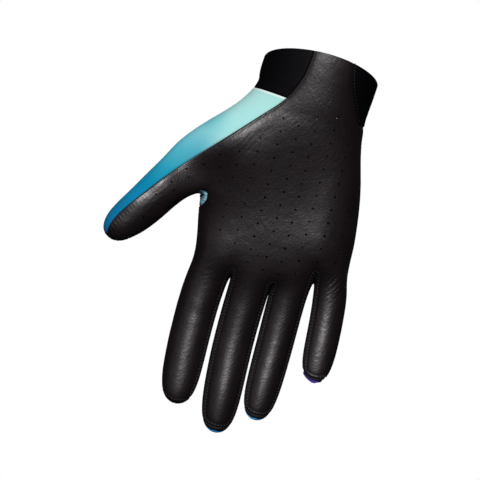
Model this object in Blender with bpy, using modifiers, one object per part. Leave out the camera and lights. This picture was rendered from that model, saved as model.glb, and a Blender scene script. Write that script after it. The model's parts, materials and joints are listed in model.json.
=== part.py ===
"""Motocross glove for the right hand, filled out as it is worn.

The palm faces -Y, the fingers point down (-Z) and the thumb is on the -X side. The origin is the
centre of the wrist opening. One coarse cage of quads, lofted through rings, branches into the thumb
and four fingers. It is subdivided once and cut along the seams into the panels the glove is sewn
from, and each panel gets its own wall thickness.
"""
import math

import bmesh
import bpy
from mathutils import Matrix, Vector
from mathutils.bvhtree import BVHTree

# Driving sizes in metres
BREADTH = 0.100  # the palm at the fork of the thumb, where it is widest
LENGTH = 0.200  # the wrist seam to the tip of the middle finger
DEPTH = 0.050  # the wrist, from the palm side to the back
LEATHER = 0.0013  # wall of the synthetic leather
FABRIC = 0.0012  # wall of the stretch fabric
CUFF = 0.0022  # wall of the cuff's foam rubber
CUFF_LIFT = 0.0008  # how far the cuff stands out over the leather
SEAM_GAP = 0.0004  # open line between two neighbouring panels
THUMB_WEB_RISE = 0.0025  # how far the skin between thumb and palm lies above the seams beside it
THUMB_WEB_REACH = 0.0060  # how far that skin stands out towards the thumb
SHARPEST = 3.0  # most that a sharp corner of a panel draws in, as a multiple of an edge's own share
HOLE_PITCH = 0.0081  # from hole to hole down a column
HOLE_RADIUS = 0.00062  # a hole in the middle of the palm
EDGE_HOLE = 0.85  # a hole away from the middle, as a share of HOLE_RADIUS
HOLE_SIDES = 4
FIRST_COLUMN = 0.22  # the thumb side's first column, from the left edge to the seam
CORNER_TURN = 62  # degrees from the middle of a digit's palm side or back round to its corner
THUMB_CORNER_TURN = 68  # the same at the outer side of the thumb

# Panels in the order of their material numbers, with colour, roughness, wall and lift
PANELS = (
    ("palm_leather", "#242122", 0.55, LEATHER, 0.0),
    ("back_fabric", "#7FD6DC", 0.75, FABRIC, 0.0),
    ("cuff_wrap", "#1B1A1C", 0.60, CUFF, CUFF_LIFT),
    ("sidewall_index_middle", "#1E1C1D", 0.70, FABRIC, 0.0),
    ("sidewall_middle_ring", "#1E1C1D", 0.70, FABRIC, 0.0),
    ("sidewall_ring_little", "#1E1C1D", 0.70, FABRIC, 0.0),
)
PALM, BACK, WRAP, SIDE_A, SIDE_B, SIDE_C = range(len(PANELS))

# Columns of the cage: the palm side of the thumb and of each finger is three faces wide
DIGIT = 3
TRUNK_COLUMNS = 5 * DIGIT
PALM_COLUMNS = 4 * DIGIT

# Rings from the rim to the fork of the thumb. Heights are shares of LENGTH at the left edge, at the
# fork and at the right edge. Left edge, seam, fork, corner and right edge are shares of BREADTH.
# Front, back and forward (the left edge's shift to the palm side) are shares of DEPTH. Tilt leans
# the ring, squareness is the section's exponent, and even spreads the columns round the wrist.
TRUNK_RINGS = (
    # name, left_z, fork_z, right_z, left, seam, fork, corner, right,
    # front, back, forward, tilt, squareness, even
    ("rim", 0.0, 0.0, 0.0, -0.355, -0.06, -0.03, 0.165, 0.355, 0.48, 0.48, 0.0, 0.42, 2.0, 1.0),
    ("cuff", -0.055, -0.055, -0.055, -0.365, -0.095, -0.06, 0.193, 0.353, 0.49, 0.48, 0.0, 0.2, 2.0, 0.9),
    ("hem", -0.094, -0.120, -0.140, -0.38, -0.140, -0.075, 0.322, 0.355, 0.49, 0.47, 0.0, 0.0, 2.0, 0.5),
    ("wrist", -0.165, -0.17, -0.17, -0.468, -0.25, -0.165, 0.318, 0.36, 0.48, 0.43, 0.04, 0.0, 2.1, 0.1),
    ("heel", -0.232, -0.245, -0.235, -0.61, -0.375, -0.255, 0.34, 0.395, 0.45, 0.38, 0.1, 0.0, 2.3, 0.0),
    ("thenar", -0.308, -0.35, -0.33, -0.738, -0.555, -0.415, 0.39, 0.453, 0.38, 0.34, 0.2, 0.0, 2.4, 0.0),
    ("fork", -0.37, -0.44, -0.44, -0.788, -0.69, -0.470, 0.42, 0.482, 0.34, 0.33, 0.22, 0.0, 2.5, 0.0),
)

# Rings of the palm below the thumb, and the row where the fingers part. Across is in shares of BREADTH,
# height of LENGTH and depth of DEPTH. The palm side's first column stands the corner's share inside the
# left edge, its last one PALM_CORNER inside the right edge.
PALM_RINGS = (
    # name, left_z, right_z, left, right, corner, front, back
    ("upper_palm", -0.495, -0.485, -0.512, 0.488, 0.012, 0.33, 0.33),
    ("lower_palm", -0.570, -0.540, -0.487, 0.487, 0.050, 0.32, 0.32),
)
KNUCKLES = (
    # name, x, z, drop of the web below the top of its seam
    ("outside of the index finger", -0.468, -0.645, 0.0),
    ("index and middle", -0.205, -0.641, 0.029),
    ("middle and ring", 0.045, -0.653, 0.032),
    ("ring and little", 0.287, -0.573, 0.070),
    ("outside of the little finger", 0.486, -0.600, 0.0),
)
KNUCKLE_DEPTH = 0.28
PALM_SQUARENESS = 2.6
PALM_CORNER = 0.05

# Fingers: x at the root, the bend and the tip and the widths are shares of BREADTH, the tip's height of
# LENGTH, the turns are the degrees from the middle of the palm side round to the left and right seam,
# then the panels at the left side, the right side and over the tip
FINGERS = (
    # name, root_x, bend_x, tip_x, tip_z, root_width, tip_width,
    # left_turn, right_turn, left_panel, right_panel, cap_panel
    ("index", -0.351, -0.362, -0.339, -1.079, 0.244, 0.230, 62, 78, PALM, SIDE_A, PALM),
    ("middle", -0.084, -0.094, -0.062, -1.133, 0.238, 0.226, 68, 78, SIDE_A, SIDE_B, SIDE_B),
    ("ring", 0.152, 0.157, 0.152, -1.066, 0.222, 0.208, 68, 78, SIDE_B, SIDE_C, SIDE_C),
    ("little", 0.393, 0.427, 0.436, -0.908, 0.205, 0.192, 66, 62, SIDE_C, PALM, SIDE_C),
)
BEND_ALONG = 0.46  # the finger's middle joint, as a share of its length
FINGER_RINGS = (
    # name, along the finger, width share, depth share, curl to the palm side as a share of DEPTH, arc:
    # how far the middle of the palm side hangs below its corners, as a share of the width
    ("root", 0.14, 1.00, 0.92, 0.00, 0.00),
    ("bend", BEND_ALONG, 1.00, 0.88, 0.05, 0.00),
    ("pad", 0.83, 1.00, 0.82, 0.17, 0.05),
    ("tip", 0.960, 0.73, 0.58, 0.24, 0.18),
)
CAP_ALONG = 1.022
CAP_CURL = 0.29
CAP_WIDTH = 0.66

# Thumb: outer and inner edge of each ring, the seam's place between them, thickness and forward shift
THUMB_RINGS = (
    # name, outer_x, outer_z, inner_x, inner_z, seam, thickness, forward
    ("root", -0.848, -0.430, -0.620, -0.485, 0.32, 0.48, 0.24),
    ("joint", -0.928, -0.502, -0.700, -0.550, 0.22, 0.46, 0.28),
    ("pad", -1.020, -0.575, -0.785, -0.607, 0.17, 0.42, 0.33),
    ("tip", -1.032, -0.624, -0.880, -0.648, 0.17, 0.28, 0.37),
)
THUMB_CAP = (-0.965, -0.663, 0.38)

# Dents in the palm side: centre and reach across as shares of BREADTH, centre and reach down as shares
# of LENGTH, depth as a share of DEPTH
DENTS = (
    # name, x, reach_x, z, reach_z, depth
    ("hollow of the palm", 0.06, 0.30, -0.420, 0.110, 0.060),
    ("fold beside the thumb", -0.42, 0.09, -0.400, 0.045, 0.070),
    ("wrist crease", 0.02, 0.22, -0.150, 0.028, 0.024),
    ("crease of the index finger", -0.36, 0.10, -0.805, 0.024, 0.016),
)

# Columns of holes: x at the wrist end and at the finger end, height of the first hole, number of holes
HOLE_COLUMNS = (
    # wrist_x, finger_x, first_z, count
    (-0.350, -0.345, -0.300, 7),
    (-0.250, -0.238, -0.245, 10),
    (-0.148, -0.133, -0.170, 12),
    (-0.052, -0.030, -0.140, 13),
    (0.050, 0.065, -0.142, 13),
    (0.165, 0.165, -0.125, 13),
    (0.275, 0.275, -0.155, 11),
    (0.378, 0.382, -0.305, 7),
)
THUMB_HOLES = (
    # first_x, first_z, last_x, last_z, count
    (-0.460, -0.325, -0.420, -0.400, 3),
    (-0.540, -0.365, -0.805, -0.565, 5),
    (-0.632, -0.392, -0.768, -0.489, 3),
)


def clear_scene():
    for item in list(bpy.data.objects):
        bpy.data.objects.remove(item, do_unlink=True)


def make_collection(name):
    collection = bpy.data.collections.new(name)
    bpy.context.scene.collection.children.link(collection)
    return collection


def linear(code):
    """Turns an sRGB hex colour into linear RGBA."""
    parts = [int(code[k:k + 2], 16) / 255 for k in (1, 3, 5)]
    return [((c + 0.055) / 1.055) ** 2.4 if c > 0.04045 else c / 12.92 for c in parts] + [1.0]


def make_material(name, code, roughness):
    material = bpy.data.materials.new(name + "_material")
    material.use_nodes = True
    shader = material.node_tree.nodes["Principled BSDF"]
    shader.inputs["Base Color"].default_value = linear(code)
    shader.inputs["Roughness"].default_value = roughness
    shader.inputs["Metallic"].default_value = 0.0
    material.diffuse_color = linear(code)
    return material


def mix(first, last, share):
    return first + (last - first) * share


def swell(columns):
    """The smoothing draws a round ring in by this share, so the cage is made larger by it."""
    return 6 / (4 + 2 * math.cos(2 * math.pi / columns))


def bulge(share, squareness):
    """Height of a rounded section over its middle line, from 0 at the edges to 1."""
    return max(0.0, 1 - abs(share) ** squareness) ** (1 / squareness)


def front_columns(left, seam, fork, corner):
    """x of the palm side's columns: corner, seam, halfway, then evenly from the fork to the corner."""
    palm = [mix(fork, corner, k / PALM_COLUMNS) for k in range(PALM_COLUMNS + 1)]
    return [mix(left, seam, FIRST_COLUMN), seam, mix(seam, fork, 0.5)] + palm


def trunk_places(row):
    """Places of one ring of the trunk, as front, right edge, back from right to left, left edge."""
    (name, left_z, fork_z, right_z, left, seam, fork, corner, right, front, back) = row[:11]
    (forward, tilt, squareness, even) = row[11:]
    middle = (left + right) / 2
    half = (right - left) / 2
    turns = [math.asin((x - middle) / half) for x in front_columns(left, seam, fork, corner)]
    # The back mirrors the front, or spreads evenly round the wrist from the corner to the seam
    rest = TRUNK_COLUMNS + 4
    mirrored = [math.pi / 2] + [math.pi - t for t in reversed(turns)] + [1.5 * math.pi]
    spread = [mix(turns[-1], 2 * math.pi + turns[1], (k + 1) / (rest + 1)) for k in range(rest)]
    turns[0] = mix(turns[0], spread[-1] - 2 * math.pi, even)
    turns += [mix(a, b, even) for a, b in zip(mirrored, spread)]
    places = []
    for turn in turns:
        side = math.sin(turn)
        x = middle + half * side
        toward = max(0.0, (fork - x) / (fork - left))
        y = (-front if math.cos(turn) > 0 else back) * bulge(side, squareness) - forward * toward
        if x < fork:
            z = mix(fork_z, left_z, toward)
        else:
            z = mix(fork_z, right_z, (x - fork) / (right - fork))
        places.append(Vector((x * BREADTH, y * DEPTH, z * LENGTH - tilt * y * DEPTH)))
    return places


def palm_places(front_x, heights, left, right, front, back):
    """Places of one ring of the palm, from the palm side's columns and their heights."""
    middle = (left + right) / 2
    half = (right - left) / 2
    rise = [bulge((x - middle) / half, PALM_SQUARENESS) for x in front_x]
    rows = [(x, -front * up, z) for x, up, z in zip(front_x, rise, heights)]
    rows += [(right, 0.0, heights[-1])]
    rows += [(x, back * up, z) for x, up, z in reversed(list(zip(front_x, rise, heights)))]
    rows += [(left, 0.0, heights[0])]
    return [Vector((x * BREADTH, y * DEPTH, z * LENGTH)) for x, y, z in rows]


def digit_places(middle, across, half, thickness, front, back):
    """Places of one ring of a finger or thumb from its columns' turns round the middle."""
    fit = swell(2 * DIGIT + 4)
    turns = front + [math.pi / 2] + [math.pi - t for t in reversed(back)] + [1.5 * math.pi]
    toward = Vector((0, -thickness / 2, 0))
    return [middle + fit * (across * half * math.sin(t) + toward * math.cos(t)) for t in turns]


def even_turns(left, right):
    """Turns of the columns of a digit's palm side or back, from two angles in degrees."""
    return [math.radians(mix(-left, right, k / DIGIT)) for k in range(DIGIT + 1)]


def panel_of(count, front, right, back, left):
    """Panel numbers of a band of faces, column by column."""
    front = [front] * count if isinstance(front, int) else list(front)
    return front + [right] * 2 + [back] * count + [left] * 2


def loft(mesh, upper, lower, panels):
    count = len(upper)
    for k in range(count):
        nxt = (k + 1) % count
        face = mesh.faces.new((upper[k], lower[k], lower[nxt], upper[nxt]))
        face.material_index = panels[k]


def close_tip(mesh, ring, places, front_panels, back_panel):
    """Closes a fingertip with two rows of faces that meet on the line through the edge middles."""
    count = len(ring) // 2 - 2
    front = ring[:count + 1]
    back = list(reversed(ring[count + 2:2 * count + 3]))
    line = [ring[-1]] + [mesh.verts.new(p) for p in places] + [ring[count + 1]]
    for k in range(count):
        palm_face = mesh.faces.new((front[k], line[k], line[k + 1], front[k + 1]))
        palm_face.material_index = front_panels[k]
        back_face = mesh.faces.new((line[k], back[k], back[k + 1], line[k + 1]))
        back_face.material_index = back_panel


def branch(parent, first, last, webs):
    """The part of a ring from one column to another, closed over the webs beside it."""
    count = len(parent) // 2 - 2
    front = parent[first:last + 1]
    back = [parent[2 * count + 2 - k] for k in range(last, first - 1, -1)]
    right = parent[count + 1] if last == count else webs[last]
    left = parent[-1] if first == 0 else webs[first]
    return front + [right] + back + [left]


def web_vertex(mesh, ring, column, reach, drop):
    """The vertex halfway between palm side and back where two tubes branch, moved left and down."""
    count = len(ring) // 2 - 2
    middle = (ring[column].co + ring[2 * count + 2 - column].co) / 2
    return mesh.verts.new(middle - Vector((reach, 0, drop)))


def build_cage():
    mesh = bmesh.new()
    # Trunk: rim, cuff, wrist and the ball of the thumb
    rings = [[mesh.verts.new(p) for p in trunk_places(row)] for row in TRUNK_RINGS]
    tongue = [WRAP] + [PALM] * (TRUNK_COLUMNS - 1)
    cuff = panel_of(TRUNK_COLUMNS, tongue, WRAP, WRAP, WRAP)
    hand = panel_of(TRUNK_COLUMNS, [BACK] + tongue[1:], PALM, BACK, BACK)
    for k in range(len(rings) - 1):
        loft(mesh, rings[k], rings[k + 1], cuff if k < 2 else hand)

    # Thumb
    fork = rings[-1]
    webs = {DIGIT: web_vertex(mesh, fork, DIGIT, THUMB_WEB_REACH, -THUMB_WEB_RISE)}
    ring = branch(fork, 0, DIGIT, webs)
    for name, outer_x, outer_z, inner_x, inner_z, seam, thickness, forward in THUMB_RINGS:
        outer = Vector((outer_x * BREADTH, 0, outer_z * LENGTH))
        inner = Vector((inner_x * BREADTH, 0, inner_z * LENGTH))
        middle = (outer + inner) / 2 - Vector((0, forward * DEPTH, 0))
        across = (inner - outer).normalized()
        half = (inner - outer).length / 2
        seam_turn = math.asin(2 * seam - 1)
        high = math.radians(CORNER_TURN)
        turns = [math.radians(-THUMB_CORNER_TURN), seam_turn, mix(seam_turn, high, 0.5), high]
        places = digit_places(middle, across, half, thickness * DEPTH, turns, turns)
        lower = [mesh.verts.new(p) for p in places]
        loft(mesh, ring, lower, panel_of(DIGIT, [BACK, PALM, PALM], PALM, BACK, BACK))
        ring = lower
    cap_x, cap_z, forward = THUMB_CAP
    end = Vector((cap_x * BREADTH, -forward * DEPTH, cap_z * LENGTH))
    caps = [end + across * half * (k / DIGIT * 2 - 1) for k in range(1, DIGIT)]
    close_tip(mesh, ring, caps, [BACK, PALM, PALM], BACK)

    # Palm below the thumb; the first band's thumb side is fabric, as the notch in the web
    ring = branch(fork, DIGIT, TRUNK_COLUMNS, webs)
    notch = BACK
    for name, left_z, right_z, left, right, corner, front, back in PALM_RINGS:
        shares = [mix(corner, 1 - PALM_CORNER, k / PALM_COLUMNS) for k in range(PALM_COLUMNS + 1)]
        front_x = [mix(left, right, share) for share in shares]
        heights = [mix(left_z, right_z, share) for share in shares]
        places = palm_places(front_x, heights, left, right, front, back)
        lower = [mesh.verts.new(p) for p in places]
        loft(mesh, ring, lower, panel_of(PALM_COLUMNS, PALM, PALM, BACK, notch))
        ring = lower
        notch = PALM
    columns = [KNUCKLES[0][1:3]]
    for (_, x0, z0, _), (_, x1, z1, _) in zip(KNUCKLES, KNUCKLES[1:]):
        columns += [(mix(x0, x1, k / DIGIT), mix(z0, z1, k / DIGIT)) for k in range(1, DIGIT + 1)]
    front_x, heights = (list(values) for values in zip(*columns))
    left, right = front_x[0], front_x[-1]
    front_x[0] = mix(left, right, PALM_CORNER)
    front_x[-1] = mix(right, left, PALM_CORNER)
    places = palm_places(front_x, heights, left, right, KNUCKLE_DEPTH, KNUCKLE_DEPTH)
    lower = [mesh.verts.new(p) for p in places]
    loft(mesh, ring, lower, panel_of(PALM_COLUMNS, PALM, PALM, BACK, PALM))
    knuckles = lower
    webs = {}
    for number, (_, x, z, drop) in enumerate(KNUCKLES[1:-1], 1):
        webs[number * DIGIT] = web_vertex(mesh, knuckles, number * DIGIT, 0.0, drop * LENGTH)

    # Fingers
    for number, finger in enumerate(FINGERS):
        name, root_x, bend_x, tip_x, tip_z, root_width, tip_width, left_turn, right_turn = finger[:9]
        left_panel, right_panel, cap_panel = finger[9:]
        ring = branch(knuckles, number * DIGIT, (number + 1) * DIGIT, webs)
        top = (KNUCKLES[number][2] + KNUCKLES[number + 1][2]) / 2
        panels = panel_of(DIGIT, PALM, right_panel, BACK, left_panel)
        front, back = even_turns(left_turn, right_turn), even_turns(CORNER_TURN, CORNER_TURN)
        for ring_name, along, width, thick, curl, arc in FINGER_RINGS:
            if along < BEND_ALONG:
                x = mix(root_x, bend_x, along / BEND_ALONG)
            else:
                x = mix(bend_x, tip_x, (along - BEND_ALONG) / (1 - BEND_ALONG))
            breadth = mix(root_width, tip_width, along) * BREADTH
            middle = Vector((x * BREADTH, -curl * DEPTH, mix(top, tip_z, along) * LENGTH))
            half = width * breadth / 2
            places = digit_places(middle, Vector((1, 0, 0)), half, thick * breadth, front, back)
            for place in places[:DIGIT + 1]:
                place.z -= arc * breadth * (1 - min(1.0, abs(place.x - middle.x) / half) ** 2)
            lower = [mesh.verts.new(p) for p in places]
            loft(mesh, ring, lower, panels)
            ring = lower
        end = Vector((tip_x * BREADTH, -CAP_CURL * DEPTH, mix(top, tip_z, CAP_ALONG) * LENGTH))
        reach = Vector((CAP_WIDTH * breadth / 2, 0, 0))
        caps = [end + reach * (k / DIGIT * 2 - 1) for k in range(1, DIGIT)]
        close_tip(mesh, ring, caps, [cap_panel] * DIGIT, BACK)
    return mesh


def smooth_surface(cage):
    """One level of subdivision, as a bmesh with the panel numbers kept."""
    data = bpy.data.meshes.new("glove_form")
    cage.to_mesh(data)
    form = bpy.data.objects.new("glove_form", data)
    bpy.context.scene.collection.objects.link(form)
    subdivision = form.modifiers.new("Subdivision", "SUBSURF")
    subdivision.levels = 1
    subdivision.render_levels = 1
    bpy.context.view_layer.update()
    evaluated = form.evaluated_get(bpy.context.evaluated_depsgraph_get())
    surface = bmesh.new()
    surface.from_mesh(evaluated.to_mesh())
    evaluated.to_mesh_clear()
    bpy.data.objects.remove(form, do_unlink=True)
    surface.normal_update()
    return surface


def press_dents(surface):
    """Presses the soft dents into the palm side."""
    for vert in surface.verts:
        if vert.normal.y > -0.2:
            continue
        for name, x, reach_x, z, reach_z, depth in DENTS:
            across = (vert.co.x - x * BREADTH) / (reach_x * BREADTH)
            down = (vert.co.z - z * LENGTH) / (reach_z * LENGTH)
            vert.co.y += depth * DEPTH * math.exp(-across ** 2 - down ** 2)
    surface.normal_update()


def draw_in(panel, normals, distance):
    """Moves the panel's edge inward along its surface, square to both edges that meet at a corner."""
    moves = {}
    for vert in panel.verts:
        inward = []
        for edge in vert.link_edges:
            if not edge.is_boundary:
                continue
            step = normals[vert.index].cross(edge.other_vert(vert).co - vert.co).normalized()
            toward = edge.link_faces[0].calc_center_median() - vert.co
            inward.append(step if step.dot(toward) > 0 else -step)
        if inward:
            both = inward[0] + inward[-1]
            moves[vert] = both * distance * min(2 / both.length_squared, SHARPEST / both.length)
    for vert, move in moves.items():
        vert.co += move


def make_panel(surface, normals, number, collection):
    """One panel of the glove: its faces, cut free along the seams and given a wall."""
    name, code, roughness, wall, lift = PANELS[number]
    panel = surface.copy()
    panel.verts.ensure_lookup_table()
    others = [face for face in panel.faces if face.material_index != number]
    keep = panel.verts.layers.int.new("source")
    lining = panel.verts.layers.int.new("lining")
    for vert in panel.verts:
        vert[keep] = vert.index
    bmesh.ops.delete(panel, geom=others, context="FACES")
    panel.verts.index_update()
    outward = {vert.index: normals[vert[keep]] for vert in panel.verts}
    draw_in(panel, outward, SEAM_GAP / 2)
    for vert in panel.verts:
        vert.co += outward[vert.index] * lift
    made = bmesh.ops.extrude_face_region(panel, geom=panel.faces[:], use_keep_orig=True)
    for item in made["geom"]:
        if isinstance(item, bmesh.types.BMVert):
            item.co -= normals[item[keep]] * wall
            item[lining] = 1
    # The faces across a seam edge are twisted, so both neighbours split theirs along the same line
    for face in panel.faces[:]:
        outside = sorted((v for v in face.verts if not v[lining]), key=lambda v: v[keep])
        inside = sorted((v for v in face.verts if v[lining]), key=lambda v: v[keep])
        if outside and inside:
            bmesh.utils.face_split(face, outside[0], inside[-1])
    bmesh.ops.recalc_face_normals(panel, faces=panel.faces)
    for face in panel.faces:
        face.smooth = True
        face.material_index = 0
    data = bpy.data.meshes.new(name)
    panel.to_mesh(data)
    panel.free()
    data.materials.append(make_material(name, code, roughness))
    item = bpy.data.objects.new(name, data)
    collection.objects.link(item)
    return item


def hole_places():
    """x, z and radius of every hole in the palm."""
    holes = []
    for wrist_x, finger_x, first_z, count in HOLE_COLUMNS:
        for k in range(count):
            z = first_z * LENGTH - k * HOLE_PITCH
            x = mix(wrist_x, finger_x, min(1.0, k / 6)) * BREADTH
            off = math.hypot(x / BREADTH - 0.05, z / LENGTH + 0.38)
            holes.append((x, z, HOLE_RADIUS * (1.0 if off < 0.25 else EDGE_HOLE)))
    for first_x, first_z, last_x, last_z, count in THUMB_HOLES:
        for k in range(count):
            x = mix(first_x, last_x, k / (count - 1)) * BREADTH
            z = mix(first_z, last_z, k / (count - 1)) * LENGTH
            holes.append((x, z, HOLE_RADIUS * EDGE_HOLE))
    return holes


def make_punches(surface, collection):
    """Small prisms square to the palm's surface, one for each hole."""
    tree = BVHTree.FromBMesh(surface)
    punches = bmesh.new()
    for x, z, radius in hole_places():
        spot, normal, index, distance = tree.ray_cast(Vector((x, -10 * DEPTH, z)), Vector((0, 1, 0)))
        turn = normal.to_track_quat("Z", "Y").to_matrix().to_4x4()
        bmesh.ops.create_cone(
            punches,
            cap_ends=True,
            segments=HOLE_SIDES,
            radius1=radius,
            radius2=radius,
            depth=5 * LEATHER,
            matrix=Matrix.Translation(spot) @ turn,
        )
    data = bpy.data.meshes.new("hole_punches")
    punches.to_mesh(data)
    punches.free()
    item = bpy.data.objects.new("hole_punches", data)
    item.hide_render = True
    item.display_type = "WIRE"
    collection.objects.link(item)
    return item


def main():
    clear_scene()
    glove = make_collection("motocross_glove")
    cutters = make_collection("cutters")
    cutters.hide_render = True
    surface = smooth_surface(build_cage())
    press_dents(surface)
    surface.verts.index_update()
    normals = [vert.normal.copy() for vert in surface.verts]
    panels = [make_panel(surface, normals, number, glove) for number in range(len(PANELS))]
    punches = make_punches(surface, cutters)
    surface.free()
    cut = panels[PALM].modifiers.new("Perforation", "BOOLEAN")
    cut.operation = "DIFFERENCE"
    cut.solver = "EXACT"
    cut.object = punches


main()
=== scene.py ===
# %% [markdown]
# # A motocross glove, panel by panel
# The glove is shown filled out, as on a right hand, with the palm to the camera and the fingers down.
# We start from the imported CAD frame. It gives the true box of the glove and the solids that our
# dressed pieces will stand for.

import json
import math

import bmesh
import bpy
import numpy as np
from mathutils import Matrix, Vector, kdtree, noise
from mathutils.bvhtree import BVHTree

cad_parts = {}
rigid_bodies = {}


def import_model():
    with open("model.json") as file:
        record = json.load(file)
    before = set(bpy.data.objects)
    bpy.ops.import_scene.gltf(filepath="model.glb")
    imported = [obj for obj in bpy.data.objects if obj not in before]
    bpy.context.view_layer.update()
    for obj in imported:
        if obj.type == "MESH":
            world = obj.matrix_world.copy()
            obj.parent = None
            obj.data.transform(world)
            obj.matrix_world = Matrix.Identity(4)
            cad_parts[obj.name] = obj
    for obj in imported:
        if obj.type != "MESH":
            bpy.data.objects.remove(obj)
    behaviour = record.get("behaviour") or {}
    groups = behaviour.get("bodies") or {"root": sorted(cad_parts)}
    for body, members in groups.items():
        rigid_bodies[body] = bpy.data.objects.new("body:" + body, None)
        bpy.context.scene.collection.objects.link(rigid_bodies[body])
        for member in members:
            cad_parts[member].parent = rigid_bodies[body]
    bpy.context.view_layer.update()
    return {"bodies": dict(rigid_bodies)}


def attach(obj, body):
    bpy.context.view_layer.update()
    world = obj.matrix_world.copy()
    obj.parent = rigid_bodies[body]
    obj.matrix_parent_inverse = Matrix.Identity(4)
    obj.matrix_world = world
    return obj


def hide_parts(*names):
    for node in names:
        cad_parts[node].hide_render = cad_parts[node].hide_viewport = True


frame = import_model()
MM = 0.001

# %% [markdown]
# ## The camera
# A product photograph of a glove is taken from a distance with a long lens, so that the fingers keep
# their true widths. The camera looks level at the palm and is rolled by 15 degrees, which leans the
# glove as it leans in the picture. The view is 292 mm wide at the glove, and it is aimed at a point
# given from the middle of the cuff's rim, along the turned picture's own left and down.

# %% Camera
ROLL = math.radians(15)
VIEW_WIDTH = 292 * MM
LENS = 200.0
SENSOR = 36.0
AIM_LEFT, AIM_DOWN = 49.14, 102.03  # in mm
right = Vector((math.cos(ROLL), 0, math.sin(ROLL)))
up = Vector((-math.sin(ROLL), 0, math.cos(ROLL)))
aim = -right * AIM_LEFT * MM - up * AIM_DOWN * MM
bpy.ops.object.select_all(action="DESELECT")
bpy.ops.object.camera_add(location=aim + Vector((0, -VIEW_WIDTH * LENS / SENSOR, 0)))
camera = bpy.context.object
camera.name = "camera"
camera.data.lens = LENS
camera.data.sensor_width = SENSOR
camera.rotation_euler = Matrix((right, up, -Vector((0, 1, 0)))).transposed().to_euler()
camera.data.clip_end = 50
bpy.context.scene.camera = camera
print("camera", [round(v, 3) for v in camera.location], "lens", LENS)

# %% [markdown]
# ## The form of the hand
# A glove like this is cut flat and takes its form from the hand inside. We make that form first, as
# one skin, and cut it into the sewn panels later. The skin is a coarse cage of quads: a tube for the
# wrist and the ball of the thumb, which branches into the thumb, the palm and four fingers. Coarse
# cages are easy to steer, because each ring has a few plain sizes, and subdivision rounds them.
# The sizes are those of the CAD source: shares of the palm's breadth, the hand's length and the
# wrist's depth. Two differ a little: the cuff's left seam bends further, and the outer side of the
# little finger's root stands a millimetre further out.

# %% Sizes of the cage
BREADTH = 100 * MM
LENGTH = 200 * MM
DEPTH = 50 * MM
THUMB_WEB_RISE = 2.5 * MM
THUMB_WEB_REACH = 6.0 * MM
FIRST_COLUMN = 0.22  # the thumb side's first column, from the left edge to the seam
DIGIT = 3  # columns across a finger or the thumb
TRUNK_COLUMNS = 5 * DIGIT
PALM_COLUMNS = 4 * DIGIT
PALM, BACK, WRAP, SIDE_A, SIDE_B, SIDE_C = range(6)

TRUNK_RINGS = (
    # name, left_z, fork_z, right_z, left, seam, fork, corner, right,
    # front, back, forward, tilt, squareness, even
    ("rim", 0.0, 0.0, 0.0, -0.355, -0.06, -0.03, 0.165, 0.355, 0.48, 0.48, 0.0, 0.42, 2.0, 1.0),
    ("cuff", -0.055, -0.055, -0.055, -0.365, -0.066, -0.03, 0.193, 0.353, 0.49, 0.48, 0.0, 0.2, 2.0, 0.9),
    ("hem", -0.094, -0.120, -0.140, -0.38, -0.140, -0.075, 0.322, 0.355, 0.49, 0.47, 0.0, 0.0, 2.0, 0.5),
    ("wrist", -0.165, -0.17, -0.17, -0.468, -0.25, -0.165, 0.318, 0.36, 0.48, 0.43, 0.04, 0.0, 2.1, 0.1),
    ("heel", -0.232, -0.245, -0.235, -0.61, -0.375, -0.255, 0.34, 0.395, 0.45, 0.38, 0.1, 0.0, 2.3, 0.0),
    ("thenar", -0.308, -0.35, -0.33, -0.738, -0.555, -0.415, 0.39, 0.453, 0.38, 0.34, 0.2, 0.0, 2.4, 0.0),
    ("fork", -0.37, -0.44, -0.44, -0.788, -0.69, -0.470, 0.42, 0.482, 0.34, 0.33, 0.22, 0.0, 2.5, 0.0),
)
PALM_RINGS = (
    # name, left_z, right_z, left, right, corner, front, back
    ("upper_palm", -0.495, -0.485, -0.512, 0.488, 0.012, 0.33, 0.33),
    ("lower_palm", -0.570, -0.540, -0.487, 0.487, 0.050, 0.32, 0.32),
)
KNUCKLES = (
    # name, x, z, drop of the web below the top of its seam
    ("outside of the index finger", -0.468, -0.645, 0.0),
    ("index and middle", -0.205, -0.641, 0.029),
    ("middle and ring", 0.045, -0.653, 0.032),
    ("ring and little", 0.287, -0.573, 0.070),
    ("outside of the little finger", 0.499, -0.600, 0.0),
)
KNUCKLE_DEPTH = 0.28
PALM_SQUARENESS = 2.6
PALM_CORNER = 0.05
FINGERS = (
    # name, root_x, bend_x, tip_x, tip_z, root_width, tip_width,
    # left_turn, right_turn, left_panel, right_panel, cap_panel
    ("index", -0.351, -0.362, -0.339, -1.079, 0.244, 0.230, 62, 78, PALM, SIDE_A, PALM),
    ("middle", -0.084, -0.094, -0.062, -1.133, 0.238, 0.226, 68, 78, SIDE_A, SIDE_B, SIDE_B),
    ("ring", 0.152, 0.157, 0.152, -1.066, 0.222, 0.208, 68, 78, SIDE_B, SIDE_C, SIDE_C),
    ("little", 0.393, 0.427, 0.436, -0.908, 0.205, 0.192, 66, 62, SIDE_C, PALM, SIDE_C),
)
BEND_ALONG = 0.46  # the finger's middle joint, as a share of its length
FINGER_RINGS = (
    # name, along the finger, width share, depth share, curl to the palm side as a share of DEPTH, arc:
    # how far the middle of the palm side hangs below its corners, as a share of the width
    ("root", 0.14, 1.00, 0.92, 0.00, 0.00),
    ("bend", BEND_ALONG, 1.00, 0.88, 0.05, 0.00),
    ("pad", 0.83, 1.00, 0.82, 0.17, 0.05),
    ("tip", 0.960, 0.73, 0.58, 0.24, 0.18),
)
CAP_ALONG = 1.022
CAP_CURL = 0.29
CAP_WIDTH = 0.66
CORNER_TURN = 62  # degrees from the middle of a digit's palm side or back round to its corner
THUMB_CORNER_TURN = 68  # the same at the outer side of the thumb
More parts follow.
